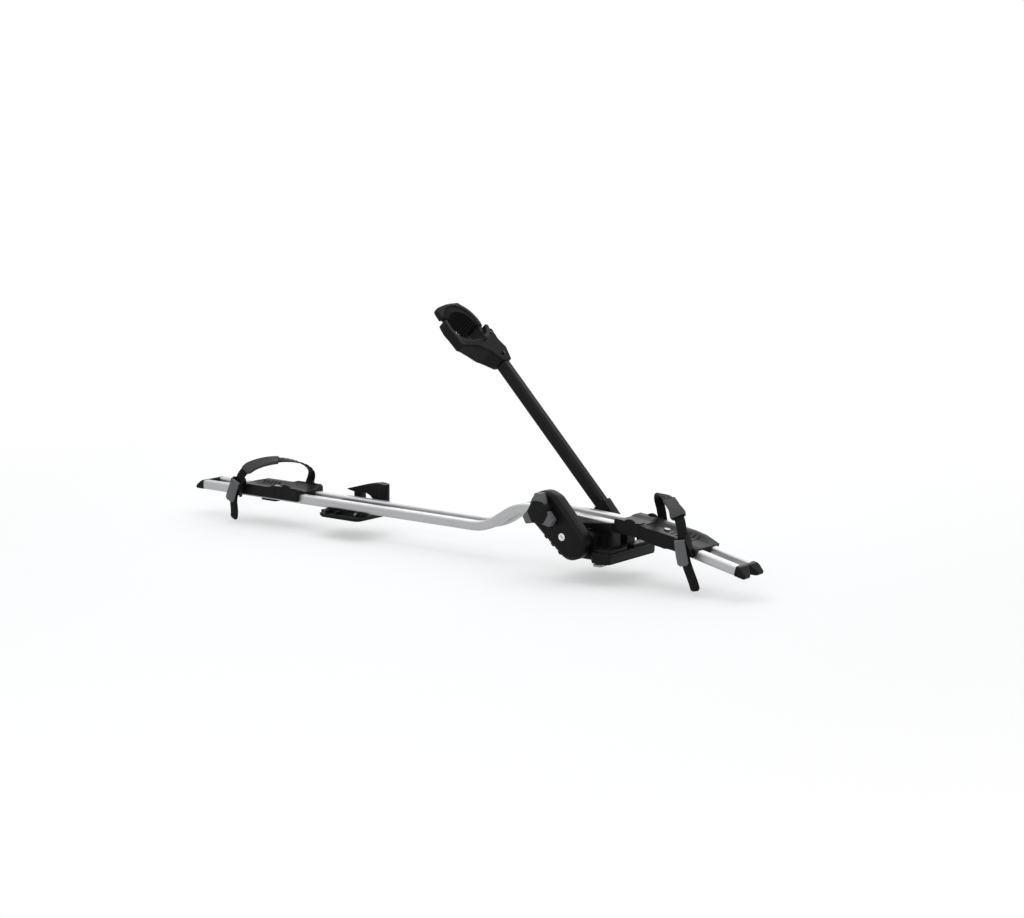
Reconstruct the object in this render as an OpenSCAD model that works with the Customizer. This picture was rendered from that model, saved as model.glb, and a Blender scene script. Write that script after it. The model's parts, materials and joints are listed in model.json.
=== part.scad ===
// Roof mounted bike carrier: two bent rails on a front and a rear foot, a folding arm with a
// two-jaw frame claw, a torque knob beside its pivot, and two wheel trays with ratchet straps.
// The origin is under the middle of the front foot, +X points to the front, +Z up.

/* [Rails] */
// Distance between the centre lines of the two rails
rail_pitch = 52; // [48:1:58]
// Width and height of a rail tube
tube_size = 20; // [18:0.5:22]
// Corner radius of a rail tube
tube_corner = 5; // [3:0.5:6]
// Wall of a rail tube
tube_wall = 2; // [1.5:0.25:2.5]
// Width of the grooves along a rail
groove_w = 1.4; // [1:0.1:1.8]
// Depth of the grooves along a rail
groove_depth = 0.6; // [0.3:0.1:0.8]
// Height of the grooves above and below the middle of a rail
groove_offset = 3.2; // [2:0.1:4]
// Height of the level rails' centre line over the roof bars
rail_z = 25.5; // [24.5:0.5:32]
// Length of the level rear run of a rail
rear_run = 762; // [740:1:790]
// Distance from the front foot back to the start of the rise
rise_back = 339; // [335:1:360]
// Slope of the rise
rise_angle = 33; // [30:1:36]
// Straight stretch in the middle of the rise
rise_run = 32; // [28:1:36]
// Bend radius at both ends of the rise
bend_r = 110; // [105:1:115]
// Fall of the hump towards the front
hump_slope = 3.2; // [2.5:0.1:4]
// Straight length of the hump
hump_run = 249; // [240:1:260]
// Bend radius between hump and nose
knee_r = 150; // [120:5:180]
// Fall of the nose
nose_slope = 12.5; // [10:0.5:14]
// Straight length of the nose
nose_run = 209; // [200:1:220]

/* [Rail end caps] */
// Length of a cap outside the tubes
cap_len = 24; // [18:1:30]
// Length of the plugs inside the tubes
cap_plug = 16; // [10:1:22]
// Height of the blunt tip of a cap
cap_tip_h = 7; // [4:0.5:10]
// Depth of the notch between the two halves of a cap
cap_notch = 16; // [8:1:17]

/* [Front foot] */
// Width of the foot across the rails
base_w = 172; // [164:2:190]
// Reach of the foot in front of the origin
base_front = 36; // [32:1:44]
// Reach of the wide deck behind the origin
deck_back = 9; // [6:0.5:10]
// Reach of the foot behind the origin
base_back = 95; // [88:1:104]
// Height of the deck
deck_h = 20; // [18:0.5:23]
// Height of the raised field on the deck
deck_step = 6; // [4:0.5:7]
// Width of the rim round the raised field
deck_rim = 6; // [4:0.5:8]
// Corner radius of the deck
deck_corner = 9; // [6:0.5:12]
// Wall of the moulded foot
base_wall = 4; // [3:0.5:5]
// Thickness of the rubber under both feet
pad_t = 3; // [2:0.25:4]
// Length of a rail tower along the rails
tower_len = 46; // [40:1:48]
// Wall of a rail tower beside its rail
tower_wall = 4; // [3:0.5:5]
// Reach of a tower's outer flange behind the origin
flange_back = 64; // [58:1:68]
// Depth of that flange beside the rail
flange_d = 5; // [4:0.5:6]
// Height of the flange's top at its front end
flange_top = 75; // [72:0.5:77]
// Fall of the flange's top towards its back end
flange_fall = 9; // [6:0.5:11]
// Height of the flange's lower edge
flange_low = 58; // [56.5:0.5:61]
// Place of the shoulder in front of the pivot barrel
shoulder_back = 16; // [14:0.5:18]
// Number of upright ribs on each side of a tower
tower_ribs = 3; // [2:1:4]
// Distance of the two roof bar bolts from the middle
bolt_y = 62; // [56:1:66]

/* [Arm pivot] */
// Distance of the arm pivot behind the origin
pivot_back = 45; // [42:1:48]
// Height of the arm pivot
pivot_z = 37; // [35:0.5:38]
// Diameter of the pivot shaft
shaft_d = 18; // [14:1:20]
// Wall of the pivot bushes
bush_wall = 3; // [2:0.5:4]
// Radius of the bush flanges
bush_flange_r = 19.5; // [17:0.5:20]
// Thickness of the bush flanges
bush_flange_t = 2.5; // [2:0.25:3]
// Near end of the pivot barrel, from the middle
barrel_near = 63; // [61:0.5:66]
// Far end of the pivot barrel, from the middle
barrel_far = 47; // [45:0.5:49]
// Radius of the pivot barrel
barrel_r = 20; // [18.5:0.5:21]

/* [Arm] */
// Lean of the arm back from upright
arm_lean = 44; // [42:0.2:46]
// Distance of the arm's middle beyond the rails' middle
arm_y = 62; // [61:0.5:64]
// Offset of the arm in front of its pivot
arm_fwd = 10; // [8:0.5:12]
// Width of the arm tube seen from the side
arm_w = 27; // [25:0.5:29]
// Depth of the arm tube across the rails
arm_d = 23; // [21:0.5:24]
// Corner radius of the arm tube
arm_corner = 7; // [5:0.5:8]
// Wall of the arm tube
arm_wall = 2; // [1.5:0.25:2.5]
// Start of the arm tube above the pivot
arm_start = 64; // [58:1:72]
// Length of the spigot inside the arm tube
spigot_len = 46; // [36:1:56]
// Radius of the knuckle round the shaft
knuckle_r = 23; // [20:0.5:25]
// Diameter of the pull rod
rod_d = 6; // [5:0.5:7]

/* [Frame claw] */
// Largest frame tube that the claw takes
frame_d = 74; // [70:1:78]
// Distance of the frame tube's middle from the pivot
frame_t = 522; // [515:1:535]
// Least thickness of the rubber pads
claw_pad_t = 4.5; // [4:0.25:5]
// Thickness of the palm's shell
shell_t = 9; // [8:0.5:10]
// Reach of the palm behind the pivot line
palm_back = 10; // [8:0.5:13]
// Reach of the palm in front of the pivot line
palm_front_w = 46; // [44:0.5:48]
// Back edge of the near finger, in front of the pivot line
finger_back = 5; // [3:0.5:7]
// Width of the near finger
finger_w = 23; // [20:0.5:26]
// Rise of the jaw's arch over the frame tube's middle
jaw_up = 8; // [7:0.5:9]
// Thickness of the jaw
jaw_t = 12.5; // [11:0.5:13]
// Reach of the jaw behind the pivot line
jaw_back = 22; // [19:0.5:24]
// Reach of the jaw in front of the pivot line
jaw_front_w = 31; // [29:0.5:33]
// Back edge of the jaw's tip, in front of the pivot line
jaw_tip_back = 11; // [9:0.5:13]
// Width of the jaw's tip
jaw_tip_w = 12; // [10:0.5:15]
// Flattening of the jaw's hood below the top of its arch
hood_flat = 4.5; // [3:0.5:6]
// Lower end of the jaw's tip, over the frame tube's middle
jaw_end_v = 29; // [27:0.5:32]
// Length of the socket that takes the arm tube
socket_len = 32; // [28:1:36]
// Wall of that socket
socket_wall = 3.5; // [3:0.25:5]
// Diameter of the jaw pin
jaw_pin_d = 8; // [6:0.5:8]
// Wall of the jaw's knuckle round its pin
jaw_knuckle_wall = 4; // [3.5:0.25:4.5]
// Half the width of the jaw's knuckle
jaw_knuckle_half = 17; // [14:0.5:18]
// Angular distance between two grip ridges
ridge_step = 9; // [7:0.5:12]
// Depth of the grip ridges
ridge_depth = 2.6; // [2:0.2:3]

/* [Knob housing] */
// Radius of the housing round the pivot
house_r1 = 34.5; // [32:0.5:36]
// Radius of the housing round the knob
house_r2 = 39.5; // [38:0.5:43]
// Place of the knob behind the pivot line
knob_back = 4; // [3:0.5:8]
// Place of the knob above the pivot
knob_up = 84; // [80:1:92]
// Depth of the housing without its cover
house_d = 32; // [28:1:36]
// Depth of the housing cover
cover_d = 7; // [5:0.5:9]
// Bevel of the housing cover
cover_bevel = 6; // [3:0.5:8]
// Wall of the housing behind its chamber
house_wall = 5; // [4:0.5:7]
// Inset of the housing's far end
house_step = 6; // [3:0.5:8]
// Depth of that inset end
house_step_d = 13; // [9:0.5:15]
// Diameter of the lock cylinder
lock_d = 15; // [13:0.5:16]
// Place of the lock behind the pivot line
lock_back = 5.5; // [4:0.5:8]
// Place of the lock above the pivot
lock_up = 20; // [19:0.5:24]
// Reach of a knob lobe from the knob's axis
knob_r = 38; // [35:0.5:39]
// Half the width of a knob lobe
lobe_half = 14; // [12:0.5:15]
// Radius of the knob's core
knob_core_r = 23; // [21:0.5:25]
// Thickness of the knob
knob_t = 22; // [19:0.5:25]
// Depth of the grips set into the knob
grip_depth = 14; // [10:0.5:16]
// Diameter of the knob spindle
spindle_d = 10; // [8:0.5:12]
// Radius of the drum on the knob spindle
drum_r = 14; // [12:0.5:16]

/* [Wheel trays] */
// Length of a wheel tray
tray_len = 192; // [184:1:198]
// Width of a wheel tray
tray_w = 86; // [82:1:90]
// Wall of a wheel tray
tray_wall = 6; // [4.5:0.5:6.5]
// Height of a tray's rim over the rails
tray_rim = 9; // [7:0.5:12]
// Height of the block at a tray's inner end over the rails
tray_block = 13; // [11:0.5:16]
// Length of that block
block_len = 72; // [60:1:80]
// Height of the low block of the front tray over the rails
front_block = 7.5; // [6:0.5:9]
// Downward bend of that block over the knee of the rails, in degrees
front_bend = 8; // [6:0.5:8.5]
// Place of that bend from the tray's inner end
bend_at = 53; // [50:0.5:55]
// Depth of the outer skirts of the front tray below the top of the rails
side_skirt = 20.5; // [18:0.5:22]
// Radius of the bump on the block
bump_r = 15; // [12:0.5:16]
// Depth of a tray's skirts below the top of the rails
tray_skirt = 15; // [12:0.5:18]
// Thickness of a tray's floor over the rails
tray_floor = 3; // [2.5:0.25:4]
// Distance of the front tray from the front ends of the rails
front_setback = 87; // [80:1:96]
// Distance of the rear tray from the rear ends of the rails
rear_setback = 96; // [90:1:106]
// Diameter of the tray bolts
tray_bolt_d = 6; // [5:0.5:8]

/* [Wheel straps] */
// Width of a strap
strap_w = 21; // [18:0.5:22]
// Thickness of a strap
strap_t = 2.6; // [2:0.2:3]
// Radius of the strap's arch over the wheel
strap_r = 52; // [51:0.5:56]
// Height of the arch's centre over the rails
strap_up = 18; // [14:0.5:22]
// Run of a strap along its tray
strap_run = 118; // [100:1:122]
// Length of the tail that hangs from the buckle
tail_len = 97; // [85:1:105]
// Drift of the front tail towards the tray's outer end
front_tail_drift = 13; // [6:0.5:16]
// Drift of the rear tail towards the tray's inner end
rear_tail_drift = 21; // [12:0.5:24]
// Lean of straps and buckles towards the tray's inner end
strap_lean = 24; // [20:0.5:28]
// Start of the rear strap pad, in steps of the arch from the buckle
rear_pad_from = 6; // [5:1:8]
// Length of the rear strap pad in the same steps
rear_pad_steps = 11; // [8:1:13]
// Start of the front strap pad in the same steps
front_pad_from = 10; // [8:1:12]
// Length of the front strap pad in the same steps
front_pad_steps = 9; // [7:1:12]
// Wall of a strap pad
strap_pad_wall = 2.6; // [2:0.2:3.5]
// Side wall of a strap pad
strap_pad_side = 4.5; // [3:0.25:6]

/* [Buckles] */
// Distance of a buckle from the outer end of its tray
buckle_in = 22; // [20:0.5:26]
// Thickness of a buckle's cheeks and back
cheek_t = 3; // [2:0.25:3.5]
// Height of a buckle below the top of the rails
buckle_low = 18; // [14:0.5:22]
// Height of a buckle over the rails
buckle_high = 20; // [18:0.5:23]
// Height of the fin on a buckle over the rails
fin_high = 31; // [27:0.5:36]
// Diameter of the lever pins
lever_pin_d = 4; // [3:0.25:5]
// Length of a strap lever
lever_len = 46; // [36:1:52]
// Thickness of a strap lever
lever_t = 5; // [4:0.25:6]

/* [Rear foot] */
// Distance of the rear foot's middle behind the origin
rear_foot_back = 693; // [690:1:700]
// Length of the rear foot
rear_foot_len = 133; // [128:1:142]
// Width of the rear foot
rear_foot_w = 116; // [112:1:124]
// Top of the rear foot plate
rear_plate_h = 8; // [7:0.25:9]
// Length of the blocks that carry the rails
rear_block_len = 84; // [76:1:90]
// Width of the slot in the plate
slot_w = 7; // [6:0.5:9]
// Length of the slot in the plate
slot_len = 26; // [20:1:32]
// Place of the clamp lever's pin in front of the foot's middle
clamp_fwd = 45; // [42:0.5:48]
// Radius of the clamp lever's barrel
clamp_r = 12; // [10:0.5:13]
// Thickness of the clamp shoe
shoe_t = 7; // [6:0.25:8]
// Top of the clamp lever
clamp_top = 68; // [64:0.5:72]
// Length of the clamp lever behind its pin
clamp_len = 96; // [88:1:104]
// Height of the clamp lever's tail
clamp_tail_z = 47; // [44:0.5:50]
// Diameter of the clamp's draw bolt
draw_d = 4; // [3:0.25:4]
// Diameter of the clamp pin
clamp_pin_d = 8; // [6:0.5:9]

/* [Bolts and fits] */
// Diameter of the roof bar bolts
bar_bolt_d = 8; // [6:0.5:8]
// Width of a roof bar bolt's head, for a slot in the bar
bar_head_w = 19; // [17:0.5:20]
// Length of a roof bar bolt's head
bar_head_l = 24; // [20:1:28]
// Thickness of a roof bar bolt's head
bar_head_t = 4; // [3:0.25:5]
// Depth of a roof bar bolt's head below the foot
bar_head_drop = 5; // [4:0.5:6]
// Diameter of the rail screws
screw_d = 6; // [5:0.5:7]
// Radial clearance of a turning pin
run_gap = 0.05; // [0.03:0.01:0.1]
// Gap between pieces that sit together
seat_gap = 0.1; // [0.05:0.01:0.15]
// Gap between pieces that slide or swing past each other
free_gap = 0.3; // [0.25:0.05:0.4]

/* [Hidden] */
$fn = 64;
big = 2000;
// How far the sides of a two-circle outline lie inside the tangents
link_lap = 0.06;
mark_len = 2;
mark_swell = 0.05;
black = "#1d1e20";
silver = "#b9bcbf";
grey = "#606367";
rubber = "#2b2c2e";
steel = "#8f9397";

// One leg of a rail is a bend followed by a straight run: [angle, radius, run]
LEGS = [
    [0, bend_r, rear_run],
    [rise_angle, bend_r, rise_run],
    [-(rise_angle + hump_slope), bend_r, hump_run],
    [-(nose_slope - hump_slope), knee_r, nose_run]
];
rear_end_x = -rise_back - rear_run;

// Places on a rail's centre line are [x, z, heading]
function turned(s, leg) =
    let (k = leg[0] < 0 ? -1 : 1, h = s[2] + leg[0])
    [s[0] + k * leg[1] * (sin(h) - sin(s[2])), s[1] + k * leg[1] * (cos(s[2]) - cos(h)), h];
function moved(s, d) = [s[0] + d * cos(s[2]), s[1] + d * sin(s[2]), s[2]];
function leg_start(i) =
    i == 0 ? [rear_end_x, rail_z, 0] : moved(turned(leg_start(i - 1), LEGS[i - 1]), LEGS[i - 1][2]);

hump = turned(leg_start(2), LEGS[2]);
rail_tip = leg_start(len(LEGS));
hump_at_0 = moved(hump, -hump[0] / cos(hump_slope));

rail_y = rail_pitch / 2;
tube_half = tube_size / 2;
rail_in = rail_y - tube_half;
rail_out = rail_y + tube_half;
rail_bottom = rail_z - tube_half;
rail_top = rail_z + tube_half;

house_far = barrel_near + bush_flange_t + free_gap;
house_near = house_far + house_d;
cover_near = house_near + cover_d;
root_near = barrel_far + bush_flange_t + free_gap;
root_far = arm_y + (arm_y - root_near);
knob_at = [-knob_back, knob_up];
lock_at = [-lock_back, lock_up];
// Snap tabs on the housing's lower edge: size and shares of the way up to the knob
tab_w = 5;
tab_places = [0.1, 0.5];

grip_r = frame_d / 2 + 1;
shell_r = grip_r + claw_pad_t;
shell_out = shell_r + shell_t;
jaw_r = shell_r + 1.5;
jaw_out = jaw_r + jaw_t;
hinge_r = jaw_pin_d / 2 + jaw_knuckle_wall;
hinge_at = [47, -32];
lug_half = 6;
lug_drop = 6;
lug_reach = arm_y - hinge_at[0] + rod_d / 2 + 4;
socket_v = hinge_at[1] - lug_drop - lug_reach - 3 - socket_len;
arm_end = frame_t + socket_v + socket_len;
rod_top = frame_t + hinge_at[1] - lug_drop - 0.6;
jaw_w0 = arm_fwd - jaw_knuckle_half;
jaw_w1 = arm_fwd + jaw_knuckle_half;
sock_y0 = arm_y - arm_d / 2 - socket_wall;
sock_y1 = arm_y + arm_d / 2 + socket_wall;
sock_w0 = arm_fwd - arm_w / 2 - socket_wall;
sock_w1 = arm_fwd + arm_w / 2 + socket_wall;

strap_near_u = tray_len - buckle_in;
strap_far_u = strap_near_u - strap_run;
tray_side = tray_w / 2;
// Faces that lie on the sides of a tray keep this far off
lie_gap = 0.02;
buckle_back = tray_side + lie_gap;
buckle_y = buckle_back + cheek_t;
block_swell = 0.8;
lever_y = strap_r + strap_t / 2 + lever_t / 2 + lever_pin_d / 2 + 3;
lever_v = buckle_high - 7;
cheek_in = strap_w / 2 + 1.2;

foot_x = -rear_foot_back;
clamp_x = foot_x + clamp_fwd;
clamp_y = rail_out + shoe_t + 2 * free_gap + clamp_r;
draw_z = rear_plate_h + draw_d + free_gap;
bar_x = clamp_x - clamp_fwd / 2;

// Rectangle with round corners
module round_rect(w, h, r) {
    square([w - 2 * r, h], center = true);
    square([w, h - 2 * r], center = true);
    for (x = [-1, 1], y = [-1, 1])
        translate([x * (w / 2 - r), y * (h / 2 - r)]) circle(r);
}

// Two circles joined by sides that lie just inside their outer tangents
module link(c1, r1, c2, r2) {
    a = atan2(c2[1] - c1[1], c2[0] - c1[0]);
    b = acos((r1 - r2) / norm(c2 - c1));
    translate(c1) circle(r1);
    translate(c2) circle(r2);
    polygon([for (e = [[c1, r1, b], [c2, r2, b], [c2, r2, -b], [c1, r1, -b]])
        e[0] + (e[1] - link_lap) * [cos(a + e[2]), sin(a + e[2])]]);
}

// Part of a ring between two angles
module ring_sector(r0, r1, a0, a1) {
    steps = 8;
    intersection() {
        difference() {
            circle(r1);
            circle(r0);
        }
        polygon([[0, 0], for (k = [0 : steps])
            2 * r1 * [cos(a0 + (a1 - a0) * k / steps), sin(a0 + (a1 - a0) * k / steps)]]);
    }
}

// An outline in X and Z, extruded across from y0 to y1
module across(y0, y1) {
    translate([0, y1, 0]) rotate([90, 0, 0]) linear_extrude(y1 - y0) children();
}

// An outline in Y and Z, extruded along from x0 to x1
module along_x(x0, x1) {
    translate([x0, 0, 0]) rotate([90, 0, 90]) linear_extrude(x1 - x0) children();
}

module pin_y(r, y0, y1) {
    translate([0, y1, 0]) rotate([90, 0, 0]) cylinder(r = r, h = y1 - y0);
}

module pin_x(r, x0, x1) {
    translate([x0, 0, 0]) rotate([0, 90, 0]) cylinder(r = r, h = x1 - x0);
}

// Frame of a place on a rail, with +X along the rail
module at_rail(s) {
    translate([s[0], 0, s[1]]) rotate([0, -s[2], 0]) children();
}

// Frame of the arm: the pivot is the origin, +Z runs up the arm
module on_arm() {
    translate([-pivot_back, 0, pivot_z]) rotate([0, -arm_lean, 0]) children();
}

// Frame of the claw: the frame tube's middle is the origin
module on_claw() {
    on_arm() translate([0, 0, frame_t]) children();
}

// Frame of a tray: its inner end on top of the rails, +X to its outer end
module on_front_tray() {
    at_rail(moved(rail_tip, -front_setback - tray_len)) translate([0, 0, tube_half]) children();
}

module on_rear_tray() {
    translate([rear_end_x + rear_setback + tray_len, 0, rail_top]) mirror([1, 0, 0]) children();
}

// Ring of a rail tube with its side grooves; swell thickens the wall on all sides
module rail_profile(swell = 0) {
    bore = tube_size - 2 * tube_wall - 2 * swell;
    difference() {
        round_rect(tube_size + 2 * swell, tube_size + 2 * swell, tube_corner + swell);
        round_rect(bore, bore, tube_corner - tube_wall - swell);
        for (s = [-1, 1], v = [-1, 1])
            translate([s * (tube_half + swell), v * groove_offset])
                square([2 * groove_depth, groove_w - 2 * swell], center = true);
    }
}

module rail_bend(angle, r) {
    flip = angle < 0 ? 180 : 0;
    if (angle != 0)
        rotate([flip, 0, 0]) translate([0, 0, r]) rotate([90, 90, 0])
            rotate_extrude(angle = abs(angle)) translate([r, 0]) rotate(90) rail_profile();
}

// Bending mark between a straight run and a bend
module bend_mark() {
    along_x(-mark_len / 2, mark_len / 2) rail_profile(mark_swell);
}

function screw_x(k) = -deck_back / 2 + k * tower_len / 4;

module rail(side) {
    last = len(LEGS) - 1;
    color(silver) difference() {
        translate([0, side * rail_y, 0]) for (i = [0 : last]) {
            start = i == 0 ? 0 : mark_len / 8;
            end = LEGS[i][2] - (i == last ? 0 : mark_len / 8);
            at_rail(leg_start(i)) rail_bend(LEGS[i][0], LEGS[i][1]);
            at_rail(turned(leg_start(i), LEGS[i])) along_x(start, end) rail_profile();
            if (i > 0) {
                at_rail(leg_start(i)) bend_mark();
                at_rail(turned(leg_start(i), LEGS[i])) bend_mark();
            }
        }
        for (k = [-1, 1])
            translate([screw_x(k), side * rail_y, hump_at_0[1] - tube_size])
                cylinder(d = screw_d + 2 * seat_gap, h = tube_size);
    }
}

module rail_near() {
    rail(-1);
}

module rail_far() {
    rail(1);
}

// End cap for both rails, its plugs on the -X side
module end_cap() {
    inner = tube_size - 2 * tube_wall - 2 * seat_gap;
    color(black) {
        for (s = [-1, 1])
            translate([0, s * rail_y, 0]) along_x(-cap_plug, 0.5)
                round_rect(inner, inner, tube_corner - tube_wall);
        difference() {
            across(-rail_out, rail_out)
                polygon([[0, -tube_half], [0, tube_half], [cap_len / 3, tube_half],
                    [cap_len, cap_tip_h - tube_half], [cap_len, -tube_half + 2],
                    [cap_len - 2, -tube_half]]);
            translate([0, 0, -tube_size]) linear_extrude(2 * tube_size)
                polygon([[cap_len - cap_notch, 0], [big, (big - cap_len + cap_notch) * 0.9],
                    [big, -(big - cap_len + cap_notch) * 0.9]]);
            for (s = [-1, 1])
                translate([0, s * rail_out, tube_half]) rotate([45, 0, 0])
                    cube([big, tube_corner, tube_corner], center = true);
        }
    }
}

module front_end_cap() {
    at_rail(rail_tip) end_cap();
}

module rear_end_cap() {
    translate([rear_end_x, 0, rail_z]) mirror([1, 0, 0]) end_cap();
}

deck_mid = (base_front - deck_back) / 2;
deck_l = base_front + deck_back;

// Outline of the front foot from above, without its pivot barrel
module deck_outline(inset) {
    translate([deck_mid, 0])
        round_rect(deck_l - 2 * inset, base_w - 2 * inset, deck_corner - inset / 2);
}

module tail_side() {
    shoulder = -shoulder_back;
    deck = deck_h + deck_step;
    translate([-pivot_back, pivot_z]) circle(barrel_r);
    polygon([[-base_back, pad_t], [-base_back, pad_t + deck_h / 2],
        [-pivot_back - barrel_r * cos(50), pivot_z + barrel_r * sin(50)],
        [-pivot_back + barrel_r * cos(72), pivot_z + barrel_r * sin(72)],
        [shoulder - barrel_r * 0.4, pivot_z + barrel_r * 0.72], [shoulder - barrel_r * 0.12, pivot_z + barrel_r * 0.48],
        [shoulder, pivot_z + barrel_r * 0.2], [shoulder + 0.8, deck + 5], [shoulder + 2.5, deck + 1.5],
        [shoulder + 6, deck - 0.5], [0, deck - 2], [0, pad_t]]);
}

// Tower under the far rail, with an outer flange beside the rail
module rail_tower() {
    height = hump_at_0[1];
    front = tower_len / 2 - deck_back;
    outer = rail_out + flange_d;
    translate([front - tower_len, rail_in - tower_wall, pad_t])
        cube([tower_len, tube_size + tower_wall + 1, height - pad_t]);
    across(rail_out - 1, outer)
        polygon([[-flange_back, flange_low + 1], [-flange_back + 1, flange_top - flange_fall],
            [front - 0.4, flange_top], [front - 0.4, flange_low]]);
    across(rail_out - 2, outer - 1)
        polygon([[-flange_back + 3, flange_low + 2], [-pivot_back - 2, pivot_z + barrel_r / 2],
            [-pivot_back + 6, pivot_z + barrel_r / 2], [-flange_back + 13, flange_low + 2]]);
    translate([front - tower_len / 4 - 0.4, rail_out - 1, pad_t + 1])
        cube([tower_len / 4, flange_d + 0.6, flange_low - pad_t]);
    for (k = [0 : tower_ribs - 1]) {
        place = front - tower_len + (k + 0.5) * tower_len / tower_ribs;
        translate([place - base_wall / 2, rail_out - 1, pad_t + 1])
            cube([base_wall, flange_d - 1, flange_low - pad_t]);
        translate([place - base_wall / 2, rail_in - tower_wall - base_wall, pad_t + 1])
            cube([base_wall, base_wall + 1, height - pad_t - 2]);
    }
}

module base_housing() {
    color(black) difference() {
        union() {
            translate([0, 0, pad_t]) linear_extrude(deck_h - pad_t) deck_outline(0);
            translate([0, 0, pad_t]) linear_extrude(deck_h + deck_step - pad_t) deck_outline(deck_rim);
            across(-barrel_near, barrel_far) tail_side();
            for (s = [0, 1]) mirror([0, s, 0]) rail_tower();
        }
        for (s = [-1, 1])
            translate([0, s * rail_y, 0]) at_rail(hump)
                along_x(-big, big) square(tube_size + 2 * seat_gap, center = true);
        translate([-pivot_back, 0, pivot_z])
            pin_y(shaft_d / 2 + bush_wall + seat_gap, -barrel_near - 1, barrel_far + 1);
        for (s = [-1, 1]) {
            translate([0, s * bolt_y, 0]) cylinder(d = bar_bolt_d + 2 * seat_gap, h = big);
            translate([0, s * bolt_y, deck_h / 2]) cylinder(d = 2.6 * bar_bolt_d, h = big);
        }
        for (s = [-1, 1], k = [-1, 1])
            translate([screw_x(k), s * rail_y, 0]) {
                cylinder(d = screw_d + 2 * seat_gap, h = big);
                cylinder(d = 2 * screw_d + 2 * free_gap, h = deck_h);
            }
        translate([deck_mid + deck_l / 4, 0, deck_h + deck_step / 2])
            cube([deck_l / 4, rail_pitch - tube_size - 2 * tower_wall, deck_step + 1], center = true);
    }
}

module front_foot_pad() {
    color(rubber) difference() {
        linear_extrude(pad_t) union() {
            deck_outline(1);
            translate([-base_back + 4, -barrel_near + 4])
                square([base_back - 4, barrel_near + barrel_far - 8]);
        }
        for (s = [-1, 1])
            translate([0, s * bolt_y, -1]) cylinder(d = bar_bolt_d + 2 * seat_gap, h = big);
        for (s = [-1, 1], k = [-1, 1])
            translate([screw_x(k), s * rail_y, -1])
                cylinder(d = 2 * screw_d + 2 * free_gap, h = big);
    }
}

// Bolt with a long head that lies in the slot of a roof bar
module bar_bolt(top) {
    translate([0, 0, -bar_head_drop]) cylinder(d = bar_bolt_d, h = top + bar_head_drop);
    translate([0, 0, -bar_head_drop - bar_head_t]) linear_extrude(bar_head_t)
        round_rect(bar_head_w, bar_head_l, 3);
}

module bar_nut() {
    difference() {
        union() {
            cylinder(d = 2 * bar_bolt_d, h = bar_bolt_d * 0.8, $fn = 6);
            cylinder(d = 2.4 * bar_bolt_d, h = 1.5);
        }
        translate([0, 0, -1]) cylinder(d = bar_bolt_d + 2 * seat_gap, h = big);
    }
}

module roof_bar_bolts() {
    color(steel) for (s = [-1, 1])
        translate([0, s * bolt_y, 0]) bar_bolt(deck_h);
}

module roof_bar_nuts() {
    color(steel) for (s = [-1, 1])
        translate([0, s * bolt_y, deck_h / 2]) bar_nut();
}

module rail_screws() {
    top = hump_at_0[1] - tube_half + tube_wall + 1;
    color(steel) for (s = [-1, 1], k = [-1, 1])
        translate([screw_x(k), s * rail_y, 0]) {
            translate([0, 0, deck_h - screw_d * 0.7]) cylinder(d = 2 * screw_d, h = screw_d * 0.7);
            translate([0, 0, deck_h - 1]) cylinder(d = screw_d, h = top - deck_h + 1);
        }
}

// Flanged bush round the pivot shaft, its flange at y = 0 towards +Y
module pivot_bush(length) {
    difference() {
        union() {
            pin_y(shaft_d / 2 + bush_wall, -length, 0.5);
            pin_y(bush_flange_r, 0, bush_flange_t);
        }
        pin_y(shaft_d / 2 + run_gap, -big, big);
    }
}

module pivot_bush_far() {
    color(rubber) translate([-pivot_back, barrel_far, pivot_z]) pivot_bush(barrel_far / 2);
}

module pivot_bush_near() {
    color(rubber) translate([-pivot_back, -barrel_near, pivot_z]) mirror([0, 1, 0])
        pivot_bush(barrel_near / 2);
}

module pivot_shaft() {
    color(steel) on_arm() difference() {
        union() {
            pin_y(shaft_d / 2, -house_near + house_wall, root_far + 1);
            pin_y(shaft_d / 2 + 4, root_far + seat_gap, root_far + 5);
        }
        pin_y(shaft_d / 4, root_far + 1, big);
    }
}

module arm_root() {
    color(black) on_arm() difference() {
        union() {
            across(root_near, root_far) difference() {
                link([0, 0], knuckle_r, [arm_fwd, arm_start - 4], arm_w / 2 + 2);
                translate([-big / 2, arm_start]) square(big);
            }
            translate([arm_fwd, arm_y, arm_start - 1]) linear_extrude(spigot_len + 1)
                round_rect(arm_w - 2 * arm_wall - 2 * seat_gap, arm_d - 2 * arm_wall - 2 * seat_gap,
                    arm_corner - arm_wall);
        }
        pin_y(shaft_d / 2 + seat_gap, 0, big);
        translate([arm_fwd, arm_y, arm_start - 12]) cylinder(d = rod_d + 2 * free_gap, h = big);
    }
}

module arm_tube() {
    color(black) on_arm() translate([arm_fwd, arm_y, arm_start])
        linear_extrude(arm_end - arm_start) difference() {
            round_rect(arm_w, arm_d, arm_corner);
            round_rect(arm_w - 2 * arm_wall, arm_d - 2 * arm_wall, arm_corner - arm_wall);
        }
}

module pull_rod() {
    start = arm_start + spigot_len / 3;
    color(steel) on_arm() translate([arm_fwd, arm_y, 0]) {
        translate([0, 0, start]) cylinder(d = rod_d, h = rod_top - rod_d / 2 - start);
        translate([0, 0, rod_top - rod_d / 2]) sphere(d = rod_d);
    }
}

module house_outline(inset) {
    link([0, 0], house_r1 - inset, knob_at, house_r2 - inset);
}

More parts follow.
